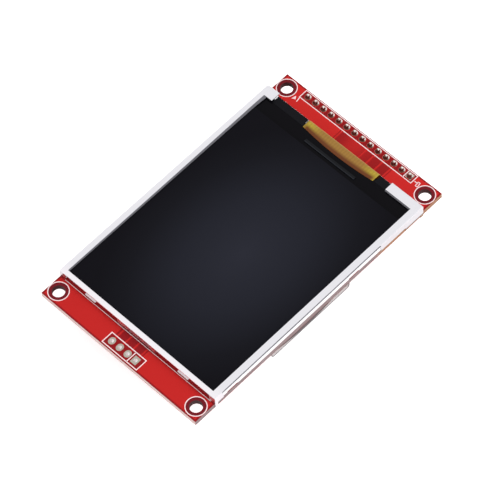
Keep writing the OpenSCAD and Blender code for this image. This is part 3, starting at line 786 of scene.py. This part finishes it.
def solid_finishes(settings):
    """The finish of each solid part, by name."""
    finishes = {
        "backlight_frame": frame_finish(),
        "driver_chip": chip_finish(),
        "card_socket_shell": shell_finish(),
    }
    for parts, name, colour, values, texture in PLAIN_FINISHES:
        material, tree, shader = new_material(name, colour, *values)
        if texture:
            grain(tree, shader, texture[0] * MM, texture[1] * MM)
        finishes.update(dict.fromkeys(parts.split(), material))
    # tin from a hot bath, frosted on the pads; the hole walls are white, a painted
    # highlight
    frosted = "B4AEA2"
    pads, tree, shader = new_material("hot_tin_plate", frosted, 0.22, metallic=1.0)
    grain(tree, shader, 0.3 * MM, 0.004 * MM)
    by_slope(tree, shader, "FFFFFF", frosted)
    finishes["plated_holes"] = pads
    finishes["led_strip"] = new_material(
        "polyimide_strip", settings.film, 0.4, specular=0.3, ior=1.6
    )[0]
    return finishes


def finish_node(name, material):
    """Gives a solid part its finish."""
    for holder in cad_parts[name].material_slots:
        holder.material = material


# ---------------------------------------------------------------- copper and mask


def rectangle_distance(x, y, x0, x1, y0, y1):
    """Signed distance to a rectangle, less than nought inside."""
    dx = np.maximum(x0 - x, x - x1)
    dy = np.maximum(y0 - y, y - y1)
    outside = np.hypot(np.maximum(dx, 0), np.maximum(dy, 0))
    return outside + np.minimum(np.maximum(dx, dy), 0)


def track_distance(x, y, route, width):
    """Signed distance to a copper track of the given width along a route of corners."""
    best = np.full(x.shape, 1e9)
    for (ax, ay), (bx, by) in zip(route[:-1], route[1:]):
        dx, dy = bx - ax, by - ay
        t = ((x - ax) * dx + (y - ay) * dy) / (dx * dx + dy * dy)
        t = np.clip(t, 0, 1)
        best = np.minimum(best, np.hypot(x - ax - t * dx, y - ay - t * dy))
    return best - width / 2


def hole_distance(x, y):
    """Distance from the nearest mounting hole's centre."""
    return np.hypot(np.abs(x) - MOUNT_X, np.abs(y) - MOUNT_Y)


def copper_front(x, y):
    """How much copper lies under the front face, 0 to 1, with soft edges."""
    pour = rectangle_distance(x, y, -24.6, 24.6, -40.75, 40.75)
    pour = np.maximum(pour, 2.35 - hole_distance(x, y))
    header = rectangle_distance(x, y, -18.3, 17.65, 38.4, 41)
    card_box = rectangle_distance(x, y, -5.35, 5.65, -40.6, -37.55)
    near_gap = rectangle_distance(x, y, -4.5, 4.3, -37.6, -33)
    far_gap = rectangle_distance(x, y, -4.6, 12.0, 33, 38.5)
    copper = pour
    for gap in (header, card_box, near_gap, far_gap):
        copper = np.maximum(copper, -gap)
    # a straight track runs from each card hole, and five from the header
    tracks = [[(at, CARD_HOLES_Y), (at, -33.5)] for at in CARD_HOLES_X]
    tracks += [[(at, 39.6), (at, 33.5)] for at in (-4.15, 3.75, 6.15, 8.85, 11.55)]
    for track in tracks:
        copper = np.minimum(copper, track_distance(x, y, track, 0.42))
    for pin in PIN_CENTRES:
        copper = np.minimum(copper, np.hypot(x - pin[0], y - pin[1]) - PIN_PAD_R)
    # the far gap is hatched copper, 0.1 + 0.6 exp(-((x - 0.6) / width)^2), which thins out
    # faster to the left, with a width of 2.6 mm, than to the right, with 4 mm
    hatch = 0.1 + 0.6 * np.exp(-(((x - 0.6) / np.where(x < 0.6, 2.6, 4.0)) ** 2))
    soft = 0.16
    return np.maximum(
        np.clip(0.5 - copper / soft, 0, 1), hatch * np.clip(0.5 - far_gap / soft, 0, 1)
    )


BACK_ROUTES = [
    [(p[0], 39.65), (p[0], 36.2 - 0.35 * k)] for k, p in enumerate(PIN_CENTRES)
] + [
    [(-3.81, -39.08), (-3.81, -30), (-8.5, -24), (-8.5, -14.5), (-6.2, -12.2)]
    + [(-2.2, -12.2)],
    [(-1.27, -39.08), (-1.27, -29), (-7.4, -22), (-7.4, -11.2), (-6.2, -9.9)]
    + [(-2.2, -9.9)],
    [(1.27, -39.08), (1.27, -28), (-5.6, -20), (-5.6, -7.6), (-2.2, -7.6)],
    [(3.81, -39.08), (3.81, -27), (-4.4, -18.4), (-4.4, -5.4), (-2.2, -5.4)],
    [(-14, 17.5), (-14, 8), (-10.5, 4.5), (-10.5, 0), (-7.9, -2.9)],
    [(-12.5, 17.5), (-12.5, 9), (-9.3, 5.4), (-9.3, 1.6), (-7.9, 0.1)],
    [(-15.5, 17.5), (-15.5, -18), (-14.8, -24.5)],
    [(8.5, 36), (8.5, 26), (14, 20), (14, 12)],
    [(11, 36), (11, 27), (16, 22), (16, 12)],
    [(-2.2, 4.6), (-5, 7.4), (-5, 20), (-1.5, 26), (-1.5, 36)],
    [(-2.2, 7.1), (-4, 8.9), (-4, 19), (1, 25), (1, 36)],
]


def copper_back(x, y):
    """How much copper lies under the back face, 0 to 1: a pour parted by tracks."""
    pour = rectangle_distance(x, y, -24.6, 24.6, -40.75, 40.75)
    pour = np.maximum(pour, 2.35 - hole_distance(x, y))
    copper = np.full(x.shape, 1e9)
    for pin in PIN_CENTRES:
        copper = np.minimum(copper, np.hypot(x - pin[0], y - pin[1]) - PIN_PAD_R)
    for at in CARD_HOLES_X:
        copper = np.minimum(copper, np.hypot(x - at, y - CARD_HOLES_Y) - CARD_PAD_R)
    for route in BACK_ROUTES:
        copper = np.minimum(copper, track_distance(x, y, route, 0.5))
    clearance, soft = 0.4, 0.26
    copper = np.minimum(np.maximum(pour, clearance - copper), copper)
    return np.clip(0.5 - copper / soft, 0, 1)


def mask_strip(name, copper, x_range, y_range, step, z, out, material, height):
    """The mask over part of one face: z plus a thin coat, lifted by height where copper is.
    The surface is z + out * (0.008 mm + height * copper(x, y)) on a grid of x and y."""
    nx = int(round((x_range[1] - x_range[0]) / step)) + 1
    ny = int(round((y_range[1] - y_range[0]) / step)) + 1
    x, y = np.meshgrid(
        np.linspace(*x_range, nx), np.linspace(*y_range, ny), indexing="ij"
    )
    under = copper(x, y)
    top = np.stack([x, y, z + out * (MASK_COAT + height * under)], -1)
    base = np.stack([x, y, np.full(x.shape, z)], -1)
    mx = (x[:-1, :-1] + x[1:, 1:]) / 2
    my = (y[:-1, :-1] + y[1:, 1:]) / 2
    keep = hole_distance(mx, my) > 2.45
    holes = [(p[0], p[1]) for p in PIN_CENTRES]
    holes += [(at, CARD_HOLES_Y) for at in CARD_HOLES_X]
    for cx, cy in holes:
        keep &= np.hypot(mx - cx, my - cy) > 0.7
    points, faces, used = sheet_solid(top, base, keep)
    if out < 0:
        faces = faces[:, ::-1]
    # painted shade on the front: the mask is a little darker at the near end, and darker
    #     still where it runs under the panel
    painted_near_shade = 0.16 * (y < PANEL_SHADE_Y)
    painted_panel_shadow = np.clip((y - PANEL_SHADE_Y) / 0.3, 0, 0.7)
    shade = 1 - (painted_panel_shadow + painted_near_shade) * (y < 0) * (out > 0)
    values = np.concatenate([((0.3 + 0.7 * under) * shade).ravel()] * 2)[used]
    return add_piece(
        name, points, faces, material, True, {"copper": values}
    )


def within_board(points, margin):
    """Holds points inside the board's outline, by a margin."""
    limit = BOARD_HIGH[:2] - margin
    points[:, :2] = np.clip(points[:, :2], -limit, limit)


def hole_collars(name, z, out, material):
    """The bare band of mask round each mounting hole: a flat ring swept round its centre,
    with its inner edge rounded down into the hole."""
    r = np.array([MOUNT_R, MOUNT_R + 0.03, MOUNT_R + 0.1, 2.5, 2.5, MOUNT_R])
    h = np.array([0.001, 0.009, 0.013, 0.013, 0.0, 0.0])
    rings = turned(r, z + out * h, 5)
    if out < 0:
        rings = rings[:, ::-1]
    points, faces = repeated(*tube(rings, True), [(x, y, 0.0) for x, y in MOUNTS])
    within_board(points, 0.01)
    values = {"copper": np.zeros(len(points))}
    return add_piece(name, points, faces, material, False, values)


# the strokes of a figure on a box 1 wide and 1 high, and those that each figure has
STROKES = {
    "a": ((0, 1), (1, 1)),
    "b": ((1, 1), (1, 0.5)),
    "c": ((1, 0.5), (1, 0)),
    "d": ((0, 0), (1, 0)),
    "e": ((0, 0), (0, 0.5)),
    "f": ((0, 0.5), (0, 1)),
    "g": ((0, 0.5), (1, 0.5)),
}
FIGURES = (
    "abcdef",
    "bc",
    "abged",
    "abgcd",
    "fgbc",
    "afgcd",
    "afgedc",
    "abc",
    "abcdefg",
    "abcdfg",
)


def digits(text, x, y, size, angle, z, out):
    """Plain figures as thin printed bars on seven strokes: each figure is a set of straight
    lines on a box size high and half as wide, turned by angle in plan."""
    wide, gap = 0.5 * size, 0.3 * size
    turn = math.radians(angle)
    solids = []
    for k, figure in enumerate(text):
        for stroke in FIGURES[int(figure)]:
            ends = []
            for px, py in STROKES[stroke]:
                lx, ly = px * wide + k * (wide + gap), py * size
                if out < 0:
                    lx = -lx
                ends.append(
                    [
                        x + lx * math.cos(turn) - ly * math.sin(turn),
                        y + lx * math.sin(turn) + ly * math.cos(turn),
                    ]
                )
            solids.append(ink_path(ends, 0.16 * size, z, z + out * 0.02, False))
    return solids


# ---------------------------------------------------------------- operators


class DISPLAY_OT_mask(bpy.types.Operator):
    """Lays the red mask over the copper at both ends of the front and over the back"""

    bl_idname = "display.mask"
    bl_label = "Solder mask"

    def execute(self, context):
        settings = context.scene.display_module.board
        mask = liquid_mask(settings)
        height = settings.copper_height / MM
        wide = (BOARD_LOW[0] + 0.01, BOARD_HIGH[0] - 0.01)
        near, far = BOARD_LOW[1] + 0.01, BOARD_HIGH[1] - 0.01
        # the front's mask stops a little way in under the panel
        near_stop, far_stop = -34.12, 34.42
        for name, copper, y_range, step, z, out in (
            ("mask_near_end", copper_front, (near, near_stop), 0.125, FRONT_Z, 1),
            ("mask_far_end", copper_front, (far_stop, far), 0.125, FRONT_Z, 1),
            ("mask_back", copper_back, (near, far), 0.25, BACK_Z, -1),
        ):
            mask_strip(name, copper, wide, y_range, step, z, out, mask, height)
        hole_collars("mask_collars_front", FRONT_Z, 1, mask)
        hole_collars("mask_collars_back", BACK_Z, -1, mask)
        finish_node("circuit_board", board_laminate(settings))
        return {"FINISHED"}


class DISPLAY_OT_ink(bpy.types.Operator):
    """Prints the white ink lines on both faces of the board"""

    bl_idname = "display.ink"
    bl_label = "Ink lines"

    def execute(self, context):
        settings = context.scene.display_module.board
        ink = screen_ink()
        for name, z, out in (("ink_front", FRONT_Z, 1), ("ink_back", BACK_Z, -1)):
            lines = self.frames(settings, z, out)
            lines += self.front(settings, z) if out > 0 else self.back(settings, z)
            points, faces = joined(lines)
            within_board(points, 0.02)
            add_piece(name, points, faces, ink)
        return {"FINISHED"}

    def bar(self, settings, z, out, path, width=None, closed=True):
        """One printed line on a face, of the set width where none is given."""
        width = settings.ink_width / MM if width is None else width
        face = z + out * (self.lift(settings) + 0.015)
        return ink_path(path, width, z, face, closed)

    def lift(self, settings):
        """How far the mask's face stands off the board over copper."""
        return MASK_COAT + settings.copper_height / MM

    def frames(self, settings, z, out):
        """The rings round the mounting holes and the frames round both rows of holes."""
        ring = settings.ring_radius / MM
        paths = [(circle_path(x, y, ring), True) for x, y in MOUNTS]
        paths += [
            (box_path(-5.42, 5.71, -40.7, -37.46), True),
            ([[2.43, -40.7], [2.43, -37.46]], False),
            (box_path(-18.35, 17.7, 38.35, 40.86), True),
            ([[15.13, 38.35], [15.13, 40.86]], False),
        ]
        return [
            self.bar(settings, z, out, path, closed=closed) for path, closed in paths
        ]

    def front(self, settings, z):
        """The line along the panel, the mark of the first pin and two plain figures."""
        along_panel = [[-23.4, -34.98], [23.9, -34.98]]
        arrow = [[-19.3, 37.0], [-18.75, 37.25], [-19.1, 37.75]]
        stem = [[-17.95, 36.9], [-18.2, 38.3]]
        lines = [
            self.bar(settings, z, 1, along_panel, 0.16, False),
            self.bar(settings, z, 1, arrow, 0.3),
            self.bar(settings, z, 1, stem, 0.26, False),
        ]
        face = z + self.lift(settings)
        lines += digits("0", 19.0, 38.5, 1.25, 8, face, 1)
        return lines + digits("1", 18.0, 39.95, 1.2, -90, face, 1)

    def back(self, settings, z):
        """The outlines of the parts, and a number at each hole of both rows."""
        low, high = SOCKET_LOW, SOCKET_HIGH
        outline = box_path(low[0] - 1.6, 24.6, low[1] - 0.4, high[1] + 0.4)
        lines = [self.bar(settings, z, -1, outline)]
        for part, grow in (("regulator_body", 1.5), ("transistor_body", 0.8)):
            low, high = node_box(part)
            outline = box_path(
                low[0] - 0.4, high[0] + 0.4, low[1] - grow, high[1] + grow
            )
            lines.append(self.bar(settings, z, -1, outline, 0.18))
        size, face = 0.95, z - self.lift(settings)
        for k, pin in enumerate(reversed(PIN_CENTRES)):
            text = str(k + 1)
            x = pin[0] + 0.45 * (1 if len(text) == 1 else 1.5)
            lines += digits(text, x, 36.9, size, 0, face, -1)
        for k, at in enumerate(reversed(CARD_HOLES_X)):
            lines += digits(str(k + 1), at + 0.3, -36.9, size, 0, face, -1)
        return lines


class DISPLAY_OT_solder(bpy.types.Operator):
    """Flows a solder cone round each header pin"""

    bl_idname = "display.solder"
    bl_label = "Solder joints"

    def execute(self, context):
        """A hollow cone, turned about each pin: over t from 0 to 1 the radius is
        foot - (foot - neck) sin(90 t) and the height is 0.86 h (1 - cos(90 t)) + 0.1 t."""
        solder = solder_finish()
        foot, neck, height, bore = 0.83, 0.4, 0.95, 0.25
        t = np.linspace(0, 1, 12)
        r = foot - (foot - neck) * np.sin(t * np.pi / 2)
        z = height * (1 - np.cos(t * np.pi / 2)) * 0.86 + 0.1 * t
        radii = np.concatenate([[bore, foot], r[1:], [bore]])
        heights = np.concatenate([[0.0, 0.0], z[1:] + 0.02, [z[-1] + 0.06]])
        offsets = [(p[0], p[1], FRONT_Z + 0.06) for p in PIN_CENTRES]
        points, faces = repeated(*tube(turned(radii, heights, 10), True), offsets)
        joints = add_piece("solder_cones", points, faces, solder, True)
        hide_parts("solder_joints")
        finish_node("flex_solder", solder)
        return {"FINISHED"}


class DISPLAY_OT_flex(bpy.types.Operator):
    """Bends the amber flex from the glass round to the board"""

    bl_idname = "display.flex"
    bl_label = "Display flex"

    def execute(self, context):
        """The flex is swept across X and along its run s: flat on the ledge, then a half
        turn of radius r about the bend line, which stands 0.4 mm proud, then flat on the
        board.
        Its bonded edge bulges as a circle of radius R: the first point of each run is
        y = middle + R - sqrt(R^2 - x^2), with x from the flex's middle."""
        settings = context.scene.display_module.display
        thick, proud, bulge = 0.12, 0.4, 0.7
        x0, x1 = FLEX_LOW[0], FLEX_HIGH[0] - 0.2
        bottom = FRONT_Z
        r = (LEDGE_HIGH[2] + thick - bottom) / 2
        bend_y = FLEX_HIGH[1] - r + proud
        mid_x, half = (x0 + x1) / 2, (x1 - x0) / 2
        bond_mid = LEDGE_HIGH[1] - 1.75
        bulge_r = (half**2 + bulge**2) / (2 * bulge)
        bond_line = (
            lambda x: bond_mid + bulge_r - np.sqrt(bulge_r**2 - (x - mid_x) ** 2)
        )
        x = np.linspace(x0, x1, 115)
        bond = bond_line(x)[:, None]
        flat_y = bond + (bend_y - bond) * np.linspace(0, 1, 13)[None, :]
        a = np.linspace(np.pi / 2, -np.pi / 2, 25)[1:-1]
        tail_y = np.linspace(bend_y, FLEX_LOW[1], 9)

        def surface(radius):
            """The sheet whose half turn has this radius."""
            fold_y = np.broadcast_to(bend_y + radius * np.cos(a), (len(x), len(a)))
            tail = np.broadcast_to(tail_y, (len(x), len(tail_y)))
            y = np.concatenate([flat_y, fold_y, tail], 1)
            z_line = np.concatenate(
                [
                    np.full(flat_y.shape[1], bottom + r + radius),
                    bottom + r + radius * np.sin(a),
                    np.full(len(tail_y), bottom + r - radius),
                ]
            )
            across = np.broadcast_to(x[:, None], y.shape)
            return np.stack([across, y, np.broadcast_to(z_line, y.shape)], -1)

        outer, inner = surface(r), surface(r - thick)
        keep = np.ones((outer.shape[0] - 1, outer.shape[1] - 1), bool)
        points, faces, used = sheet_solid(outer, inner, keep)
        at_x, at_y, at_z = points.T
        edge = np.abs(at_x - mid_x) / half
        lines = np.clip((0.86 - edge) / 0.28, 0, 1)
        near = np.clip((1.55 - (at_y - bond_line(at_x))) / 0.9, 0, 1)
        near = near * np.clip((1.02 - edge) / 0.1, 0.25, 1)
        # the inside of the fold is in its own shade
        inside = np.repeat([0.0, 1.0], outer[..., 0].size)[used]
        near = np.maximum(near, inside)
        # painted highlight along the outside of the fold
        fold = np.clip((at_y - bend_y) / r * 2.5 - 0.9, 0, 1) * (at_z > bottom + r)
        values = {"lines": lines, "bond": near, "fold": fold}
        material = flex_finish(settings)
        flex = add_piece("flex_film", points, faces, material, True, values)
        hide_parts("display_flex")
        return {"FINISHED"}


class DISPLAY_OT_window_edge(bpy.types.Operator):
    """Lines the bezel's window with the shaded gap over the glass"""

    bl_idname = "display.window_edge"
    bl_label = "Window edge"

    def execute(self, context):
        """A wedge carried along the left side of the window and the far corner tabs: its
        height falls from just over the sheet to the glass while it reaches in over it. Each
        far tab ends in a rounded lip of steel, carried along X."""
        top, glass = BEZEL_HIGH[2] + 0.005, BEZEL_HIGH[2] - 0.39
        left, right = -BEZEL_HIGH[0] + 1.7, BEZEL_HIGH[0] - 1.7
        near, tab = BEZEL_LOW[1] + 1.25, BEZEL_HIGH[1] - 2.55
        tab_left, tab_right = -BEZEL_HIGH[0] + 3.95, BEZEL_HIGH[0] - 9.65
        solids = []
        for path in (
            # corner, how far the wedge reaches in from it along x and y, and how much of
            # the sheet it shades along x
            [
                ((left, near), (0.18, 0.0), 0.04),
                ((left, 5.0), (0.22, 0.0), 0.1),
                ((left, 20.0), (0.24, 0.0), 0.2),
                ((left, 28.5), (0.3, 0.0), 0.24),
                ((left, tab), (0.5, 0.0), 0.2),
            ],
            [
                ((tab_right, tab), (0.0, -0.25), 0.0),
                ((right, tab), (-0.04, -0.25), 0.0),
                ((right, 27.0), (-0.04, 0.0), 0.0),
            ],
        ):
            corners, reaches, shaded = (np.array(column) for column in zip(*path))
            outer = corners - shaded[:, None] * (1.0, 0.0)
            inner = corners + reaches
            levels = ((outer, glass), (inner, glass), (corners, top), (outer, top))
            sections = np.stack(
                [np.column_stack([flat, np.full(len(flat), z)]) for flat, z in levels], 1
            )
            solids.append(tube(sections[:, ::-1]))
        points, faces = joined(solids)
        add_piece("window_edge", points, faces, sheet_edge_finish())

        # lip in Y and Z from the tab's far edge and top face
        lip = np.array(
            [
                (-0.5, 0.004),
                (0.1, 0.004),
                (0.25, -0.06),
                (0.32, -0.2),
                (0.3, -0.32),
                (-0.5, -0.32),
            ]
        )
        corner = BEZEL_HIGH[0] - 0.3
        lips = []
        # from x, to x, and how far the lip stands out, as a share of the section above
        for x0, x1, out in ((-corner, tab_left, 1.0), (tab_right, corner, 0.5)):
            shape = lip * (out, 1.0) + (BEZEL_HIGH[1] - 0.5 * (1 - out), BEZEL_HIGH[2])
            sections = np.stack(
                [np.column_stack([np.full(len(shape), x), shape]) for x in (x0, x1)]
            )
            lips.append(tube(sections))
        points, faces = joined(lips)
        steel = bright_steel(context.scene.display_module.display)
        add_piece("tab_lips", points, faces, steel)
        return {"FINISHED"}


class DISPLAY_OT_finishes(bpy.types.Operator):
    """Gives every solid part its own finish"""

    bl_idname = "display.finishes"
    bl_label = "Finishes"

    def execute(self, context):
        settings = context.scene.display_module.display
        for name, material in solid_finishes(settings).items():
            finish_node(name, material)
        finish_node("metal_bezel", bright_steel(settings))
        finish_node("front_polarizer", polarizer_film_finish())
        return {"FINISHED"}


def light_world(scene, sky):
    """Soft white light from all round, and plain white where it is seen or mirrored."""
    scene.world = bpy.data.worlds.new("soft_surround")
    scene.world.use_nodes = True
    tree = scene.world.node_tree
    tree.nodes.clear()
    path = add_node(tree, "ShaderNodeLightPath").outputs
    seen = calculate(tree, "MAXIMUM", path["Is Camera Ray"], path["Is Glossy Ray"])
    seen = calculate(tree, "MAXIMUM", seen, path["Is Transmission Ray"])
    soft, white = (
        add_node(
            tree,
            "ShaderNodeBackground",
            inputs={"Strength": strength, "Color": (1, 1, 1, 1)},
        ).outputs[0]
        for strength in (sky, 1.0)
    )
    mix = add_node(tree, "ShaderNodeMixShader", links={0: seen, 1: soft, 2: white})
    add_node(tree, "ShaderNodeOutputWorld", links={"Surface": mix.outputs["Shader"]})


def lay_floor(scene):
    """A matt white floor under the lowest point, which glows white where it is seen and
    much less where metal mirrors it."""
    z, size = LOWEST_Z * MM, 1.5
    mesh = bpy.data.meshes.new("floor")
    corners = [(x * size, y * size, z) for x, y in box_path(-1, 1, -1, 1)]
    mesh.from_pydata(corners, [], [(0, 1, 2, 3)])
    floor = bpy.data.objects.new("floor", mesh)
    scene.collection.objects.link(floor)
    material, tree, shader = new_material(
        "matt_white_floor", (0.86, 0.86, 0.86), 0.9, specular=0.0
    )
    glow_strength, mirrored_share = 0.62, 0.25
    path = add_node(tree, "ShaderNodeLightPath").outputs
    mirrored = calculate(tree, "MULTIPLY", path["Is Glossy Ray"], mirrored_share)
    seen = calculate(tree, "MAXIMUM", path["Is Camera Ray"], mirrored)
    none, glow = (
        add_node(tree, "ShaderNodeEmission", inputs={"Strength": strength}).outputs[0]
        for strength in (0.0, glow_strength)
    )
    shown = add_node(tree, "ShaderNodeMixShader", links={0: seen, 1: none, 2: glow})
    both = add_node(
        tree,
        "ShaderNodeAddShader",
        links={0: shader.outputs[0], 1: shown.outputs[0]},
    )
    tree.links.new(both.outputs[0], tree.nodes["Material Output"].inputs["Surface"])
    mesh.materials.append(material)


def hang_lamp(scene, name, place, power, width):
    """A square lamp that looks at the module's middle."""
    data = bpy.data.lights.new(name, "AREA")
    data.shape = "SQUARE"
    data.size = width
    data.energy = power * 10
    lamp = bpy.data.objects.new(name, data)
    lamp.location = place
    lamp.rotation_euler = Vector(place).to_track_quat("Z", "Y").to_euler()
    # metal mirrors the even surround, not the lamps
    lamp.visible_glossy = False
    scene.collection.objects.link(lamp)


def set_camera(scene):
    """A long lens that looks down on the module's near right side, turned a little."""
    azimuth, elevation, roll = (math.radians(v) for v in (49.04, 58.59, -5.66))
    back = Vector(
        (
            math.sin(azimuth) * math.cos(elevation),
            -math.cos(azimuth) * math.cos(elevation),
            math.sin(elevation),
        )
    )
    level = Vector((math.cos(azimuth), math.sin(azimuth), 0))
    rise = back.cross(level)
    right = level * math.cos(roll) + rise * math.sin(roll)
    up = rise * math.cos(roll) - level * math.sin(roll)
    data = bpy.data.cameras.new("view")
    data.sensor_width = 36
    data.lens = 259.7
    data.clip_start, data.clip_end = 0.01, 10
    camera = bpy.data.objects.new("view", data)
    target, distance = Vector((-1.00, 0.14, FRONT_Z)) * MM, 0.806
    axes = (right, up, back, target + back * distance)
    rows = [tuple(axis[k] for axis in axes) for k in range(3)]
    camera.matrix_world = Matrix(rows + [(0, 0, 0, 1)])
    scene.collection.objects.link(camera)
    scene.camera = camera


class DISPLAY_OT_stage(bpy.types.Operator):
    """Sets the floor, the light and the camera"""

    bl_idname = "display.stage"
    bl_label = "Stage"

    def execute(self, context):
        settings = context.scene.display_module.stage
        scene = context.scene
        scene.view_settings.view_transform = "Standard"
        light_world(scene, settings.sky)
        lay_floor(scene)
        for name, place, power, width in (
            ("key_light", (0.28, 0.14, 0.55), settings.key_power, 0.30),
            ("side_light", (0.50, 0.05, 0.22), settings.side_power, 0.25),
            ("front_light", (-0.05, -0.50, 0.20), settings.front_power, 0.25),
        ):
            hang_lamp(scene, name, place, power, width)
        set_camera(scene)
        return {"FINISHED"}


class DISPLAY_PT_panel(bpy.types.Panel):
    """Lists the steps that dress the display module"""

    bl_label = "Display Module"
    bl_idname = "DISPLAY_PT_panel"
    bl_space_type = "VIEW_3D"
    bl_region_type = "UI"
    bl_category = "Display"

    def draw(self, context):
        settings = context.scene.display_module
        for group in (settings.board, settings.display, settings.stage):
            column = self.layout.column()
            for name in group.bl_rna.properties.keys():
                if name not in ("rna_type", "name"):
                    column.prop(group, name)
        for operator in OPERATORS:
            self.layout.operator(operator.bl_idname)


SETTINGS = (BoardSettings, DisplaySettings, StageSettings, DisplayModuleSettings)
OPERATORS = (
    DISPLAY_OT_finishes,
    DISPLAY_OT_mask,
    DISPLAY_OT_ink,
    DISPLAY_OT_solder,
    DISPLAY_OT_flex,
    DISPLAY_OT_window_edge,
    DISPLAY_OT_stage,
)
CLASSES = SETTINGS + OPERATORS + (DISPLAY_PT_panel,)


def register():
    """Registers the classes and the settings."""
    for item in CLASSES:
        bpy.utils.register_class(item)
    bpy.types.Scene.display_module = PointerProperty(type=DisplayModuleSettings)


def unregister():
    """Removes the settings and the classes."""
    del bpy.types.Scene.display_module
    for item in reversed(CLASSES):
        bpy.utils.unregister_class(item)


def main():
    """Dresses the module."""
    register()
    bpy.ops.display.finishes()
    bpy.ops.display.mask()
    bpy.ops.display.ink()
    bpy.ops.display.solder()
    bpy.ops.display.flex()
    bpy.ops.display.window_edge()
    bpy.ops.display.stage()


if __name__ == "__main__":
    main()
